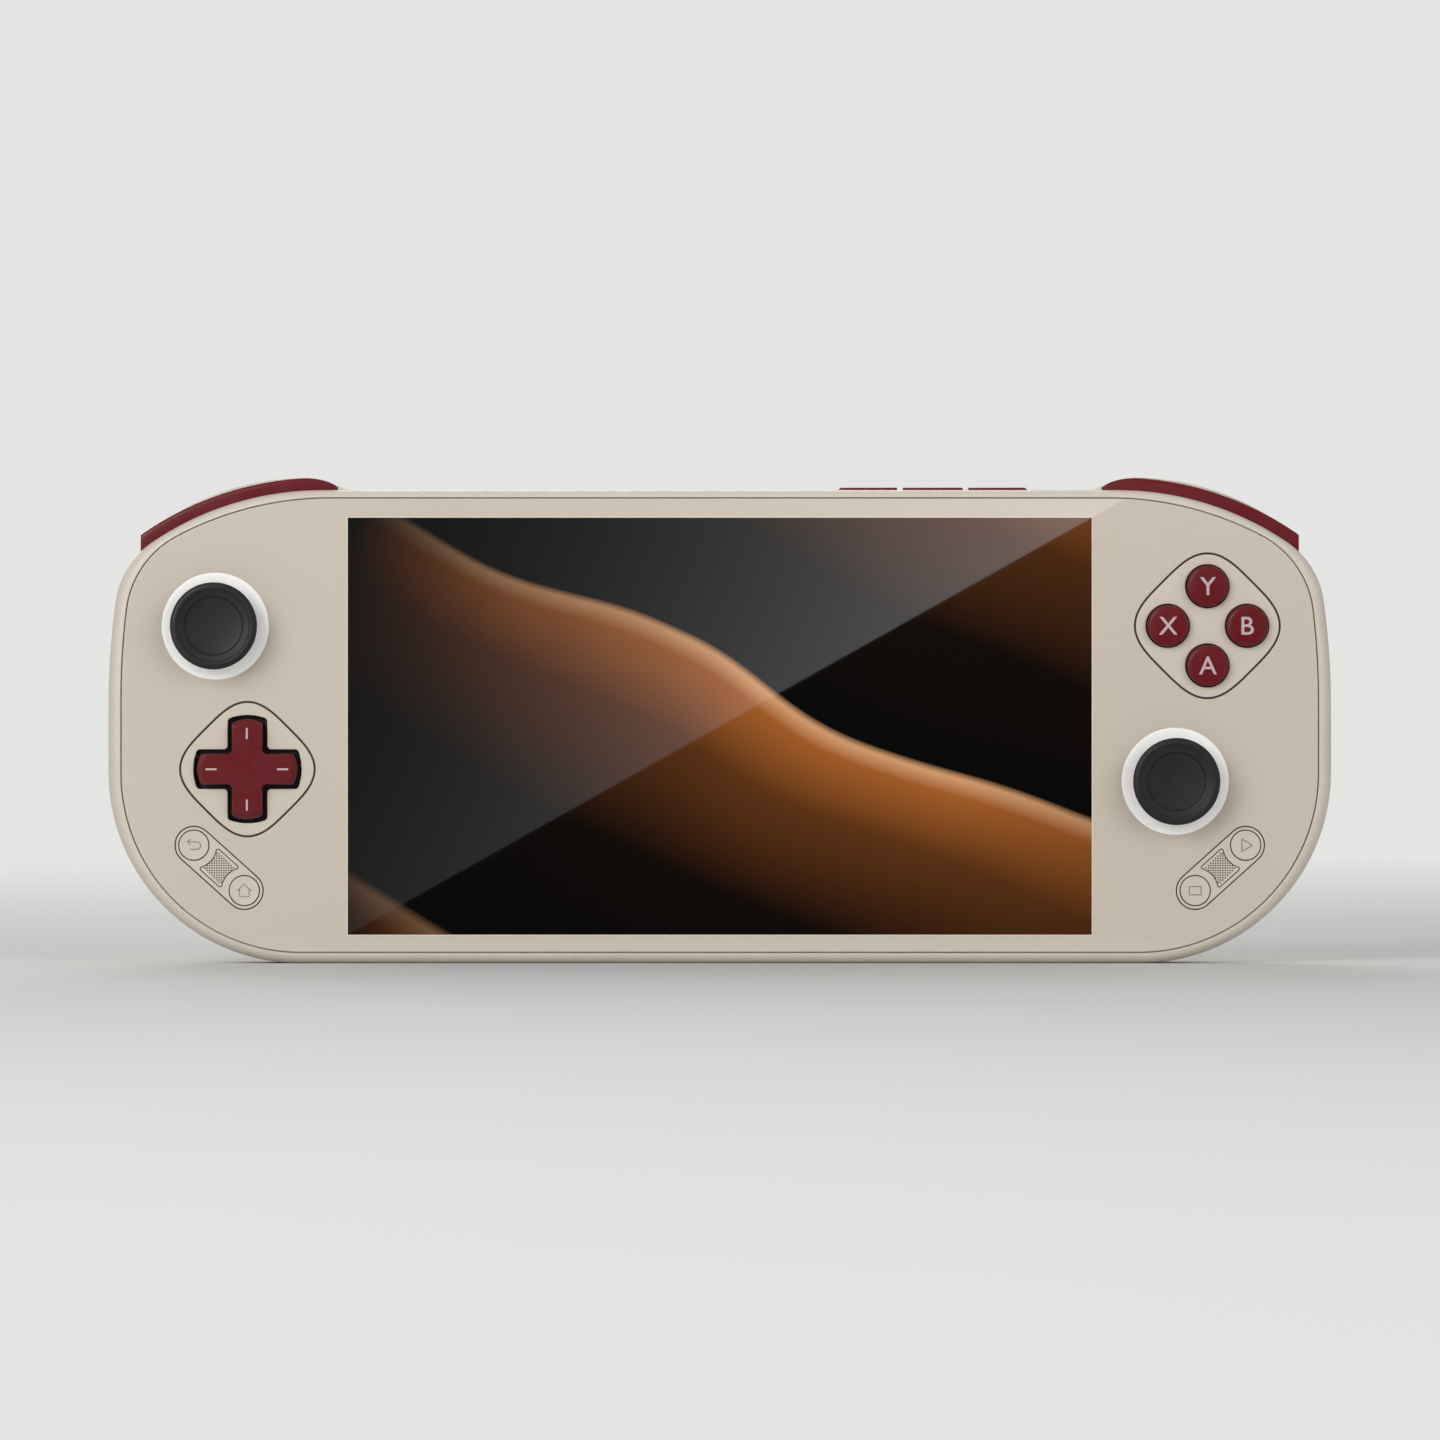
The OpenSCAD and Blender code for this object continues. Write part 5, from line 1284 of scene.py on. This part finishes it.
class CONSOLE_OT_menu_buttons(bpy.types.Operator):
    """Menu buttons in their pill plates, with icons and the speaker grilles"""

    bl_idname = "console.menu_buttons"
    bl_label = "Menu buttons"

    def execute(self, context):
        sizes = look().sizes
        for side, word in ((-1, "left"), (1, "right")):
            rim = pill_loop(side)
            holes = [circle(pill(side, end * PILL_PITCH / 2), PILL_HOLE) for end in (-1, 1)]
            shape = Shape().slab([rim] + holes, Z_PANEL, Z_FRONT, 0.1)
            piece(word + "_pill_inset", shape, "inset", "case", "inset_plate", word + "_pill_plate")
            # Painted shade in the seam round the plate: a dark strip at its bottom.
            seam_shade_strip(word + "_pill_seam_shade", rim, sizes.seam / MM)
            edge = Shape().stroke(grille_loop(side), 0.18, Z_FRONT - 0.1, Z_FRONT + 0.012, True)
            piece(word + "_grille_edge", edge, "line", "case", "inset_plate")
            self.grille(side, word, sizes)
        for node in ("back_button", "home_button", "play_button", "screen_button"):
            lo, hi = span(node)
            at, top, r, low, high = (lo + hi) / 2, hi.z, PILL_R, Z_PANEL - 0.7, Z_PANEL - 0.2
            profile = [(0, lo.z), (1.2, lo.z), (1.2, low), (2.9, low), (2.9, high), (r, high)]
            profile += [(r, top - 0.16), (r - 0.05, top - 0.06), (r - 0.16, top), (r - 0.4, top - 0.02)]
            profile += [(r * share, top - 0.06) for share in (0.7, 0.35, 0)]
            piece(node + "_cap", Shape().spin(profile, at, 72), "inset", node, "inset_plate", node)
            icon = Shape()
            lines, closed = icon_lines(node)
            for line in lines:
                path = [(at.x + ICON_SCALE * x, at.y + ICON_SCALE * y) for x, y in line]
                icon.stroke(path, ICON_LINE, top - 0.08, top - 0.035, closed)
            piece(node + "_icon", icon, "icons", node, "inset_plate")
        return {"FINISHED"}

    def grille(self, side, word, sizes):
        """Holes of the speaker grille on a square grid, clear of the buttons."""
        tree = Tree("grille_holes", pitch=sizes.dot_pitch, hole=sizes.dot, count=15, half=1.95 * MM,
                    reach=2.25 * MM, clear=4.15 * MM, turn=PILL_TURN * -side, finish=finish_of("black"))
        size = tree.math("MULTIPLY", tree["pitch"], tree.math("SUBTRACT", tree["count"], 1.0))
        grid = tree.node("MeshGrid", size, size, tree["count"], tree["count"])
        turned = tree.node("ShaderNodeVectorRotate", tree.node("InputPosition"), rotation_type="Z_AXIS",
                           feeds={"Angle": tree["turn"]})
        part = tree.node("ShaderNodeSeparateXYZ", turned).outputs
        u, v = tree.math("ABSOLUTE", part[0]), tree.math("ABSOLUTE", part[1])
        away = tree.math("SUBTRACT", PILL_PITCH / 2 * MM, u)
        far = tree.math("SQRT", tree.math("ADD", tree.math("POWER", away, 2.0), tree.math("POWER", v, 2.0)))
        outside = tree.math("MAXIMUM", tree.math("GREATER_THAN", v, tree["half"]),
                            tree.math("GREATER_THAN", u, tree["reach"]))
        outside = tree.math("MAXIMUM", outside, tree.math("LESS_THAN", far, tree["clear"]))
        kept = tree.node("DeleteGeometry", grid, outside)
        hole = tree.node("MeshCylinder", 4, 1, 1, 0.7071, 0.06 * MM)
        square = tree.node("Transform", hole, feeds={"Rotation": (0, 0, math.pi / 4)})
        wide = tree.node("ShaderNodeCombineXYZ", tree["hole"], tree["hole"], 1.0)
        sized = tree.node("Transform", square, feeds={"Scale": wide})
        spread = tree.node("InstanceOnPoints", kept, None, sized)
        holes = tree.run(word + "_grille_holes", [(0, 0, 0)], spread)
        at = pill_plate(side)
        face_user(holes.data, at.x, at.y, Z_FRONT - 0.022)
        settle(holes, "case", "black_plastic")


def sheet(name, corners, finish):
    """One flat face for the stage."""
    data = bpy.data.meshes.new(name)
    data.from_pydata(corners, [], [list(range(len(corners)))])
    return put(name, data, finish)


class CONSOLE_OT_stage(bpy.types.Operator):
    """Pale floor, soft studio light, a light card with a slanted edge and the camera"""

    bl_idname = "console.stage"
    bl_label = "Stage"

    def execute(self, context):
        scene = context.scene
        pale = tuple(look().colours.floor)
        self.floor(pale)
        self.world(scene, pale)
        self.cards()
        for name, at, aim, size, power in (
                ("key_light", (-0.8, -1.2, 0.58), (0, 0, 0.04), 0.9, 13.6),
                ("fill_light", (0.95, -1.1, 0.5), (0, 0, 0.04), 0.9, 7.0),
                ("top_light", (0.1, 0.3, 1.3), (0, 0, 0.05), 0.8, 1.2),
                ("back_light", (-0.3, 1.25, 0.75), (0, 0, 0.04), 0.9, 7.0)):
            lamp = bpy.data.lights.new(name, "AREA")
            lamp.size, lamp.energy = size, power
            obj = put(name, lamp)
            obj.location = at
            obj.rotation_euler = (Vector(aim) - Vector(at)).to_track_quat("-Z", "Y").to_euler()
            obj.visible_camera = False
            obj.visible_glossy = name != "fill_light"
        lens = bpy.data.cameras.new("front_camera")
        lens.lens, lens.sensor_width = 200, 36
        lens.clip_start, lens.clip_end = 0.05, 50
        camera = put("front_camera", lens)
        camera.location = (0.00004, -1.4048, EYE)
        camera.rotation_euler = (QUARTER, 0, 0)
        scene.camera = camera
        scene.view_settings.view_transform = "Standard"
        return {"FINISHED"}

    def floor(self, pale):
        """A round floor whose paper goes over into the background."""
        f = Finish("floor_paper", roughness=0.8, specular_ior_level=0.1)
        f.set(base_color=f.tones(f.noise(60), pale, 0.8, 0.81))
        far = f.node("TexGradient", f.place((0.45, 0.45, 0.45)), gradient_type="SPHERICAL")
        share = f.level(far.outputs["Fac"], 1.0, 0.0, 0.5, 0.86)
        f.end(f.node("MixShader", share, f.shader, f.node("Emission", pale, 1.0)))
        sheet("floor", [(x, y, 0) for x, y in circle((0, 0), 6, 64)], f.material)

    def world(self, scene, pale):
        """Soft light from all round, where the camera sees the floor's colour."""
        scene.world = bpy.data.worlds.new("studio")
        scene.world.use_nodes = True
        nodes = Nodes(scene.world.node_tree)
        light = nodes.tree.nodes["Background"]
        nodes.plug(light.inputs[0], (1, 0.99, 0.975))
        nodes.plug(light.inputs[1], 0.42)
        rays = nodes.node("LightPath").outputs
        seen = nodes.math("MAXIMUM", rays["Is Camera Ray"], rays["Is Transmission Ray"])
        mix = nodes.node("MixShader", seen, light, nodes.node("Background", pale, 1.0))
        nodes.plug(nodes.tree.nodes["World Output"].inputs[0], mix)

    def cards(self):
        """A dark flag before the glass and a bright card whose slanted edge the glass mirrors."""
        corners = ((-0.125, -0.004), (0.125, -0.004), (0.125, 0.1), (-0.125, 0.1))
        flag = [(x, -0.15, z) for x, z in corners]
        black = (0.002, 0.002, 0.002)
        cloth = Finish("flag_cloth", base_color=black, specular_ior_level=0.0, roughness=1.0)
        x0, x1, y0, y1 = [size * MM for size in WINDOW]
        low, high = [(x0 + t * (x1 - x0), y0 + t * (y1 - y0)) for t in (-0.32, 1.3)]
        reach = 1 + 0.14 / 1.4
        card = [(x * reach, -0.145, EYE + (z - EYE) * reach) for x, z in (low, high, (low[0], high[1]))]
        f = Finish("card_light")
        f.tree.nodes.remove(f.shader)
        at = f.node("SeparateXYZ", f.coords).outputs
        slant = f.math("SUBTRACT", at[0], f.math("MULTIPLY", at[2], 0.5))
        fade = f.math("POWER", f.level(slant, 0, 1, -0.11, 0.027), 2.0)
        f.end(f.node("Emission", (1, 1, 1), f.level(fade, 0.15, 2.3)))
        for name, corners, finish in (("dark_flag", flag, cloth), ("bright_card", card, f)):
            obj = sheet(name, corners, finish.material)
            obj.visible_camera = obj.visible_diffuse = obj.visible_shadow = False


PIECES = (
    CONSOLE_OT_inner_parts, CONSOLE_OT_front_sheet, CONSOLE_OT_frame_ring, CONSOLE_OT_back_shell,
    CONSOLE_OT_case_screws, CONSOLE_OT_shoulders, CONSOLE_OT_bumpers, CONSOLE_OT_triggers,
    CONSOLE_OT_top_keys, CONSOLE_OT_light_rings, CONSOLE_OT_stick_caps, CONSOLE_OT_direction_pad,
    CONSOLE_OT_face_buttons, CONSOLE_OT_menu_buttons, CONSOLE_OT_stage,
)


class CONSOLE_PT_pieces(bpy.types.Panel):
    """Lists the console's pieces, colours and sizes in the sidebar"""

    bl_idname = "CONSOLE_PT_pieces"
    bl_label = "Console"
    bl_space_type = "VIEW_3D"
    bl_region_type = "UI"
    bl_category = "Console"

    def draw(self, context):
        settings = context.scene.console_look
        for group in (settings.colours, settings.sizes):
            box = self.layout.box()
            for name in group.__annotations__:
                box.prop(group, name)
        for piece_class in PIECES:
            self.layout.operator(piece_class.bl_idname)


CLASSES = (ConsoleColours, ConsoleSizes, ConsoleLook) + PIECES + (CONSOLE_PT_pieces,)


def register():
    for cls in CLASSES:
        bpy.utils.register_class(cls)
    bpy.types.Scene.console_look = PointerProperty(type=ConsoleLook)


def unregister():
    del bpy.types.Scene.console_look
    for cls in reversed(CLASSES):
        bpy.utils.unregister_class(cls)


def main():
    register()
    for piece_class in PIECES:
        group, name = piece_class.bl_idname.split(".")
        getattr(getattr(bpy.ops, group), name)()
    bpy.context.view_layer.update()


if __name__ == "__main__":
    main()
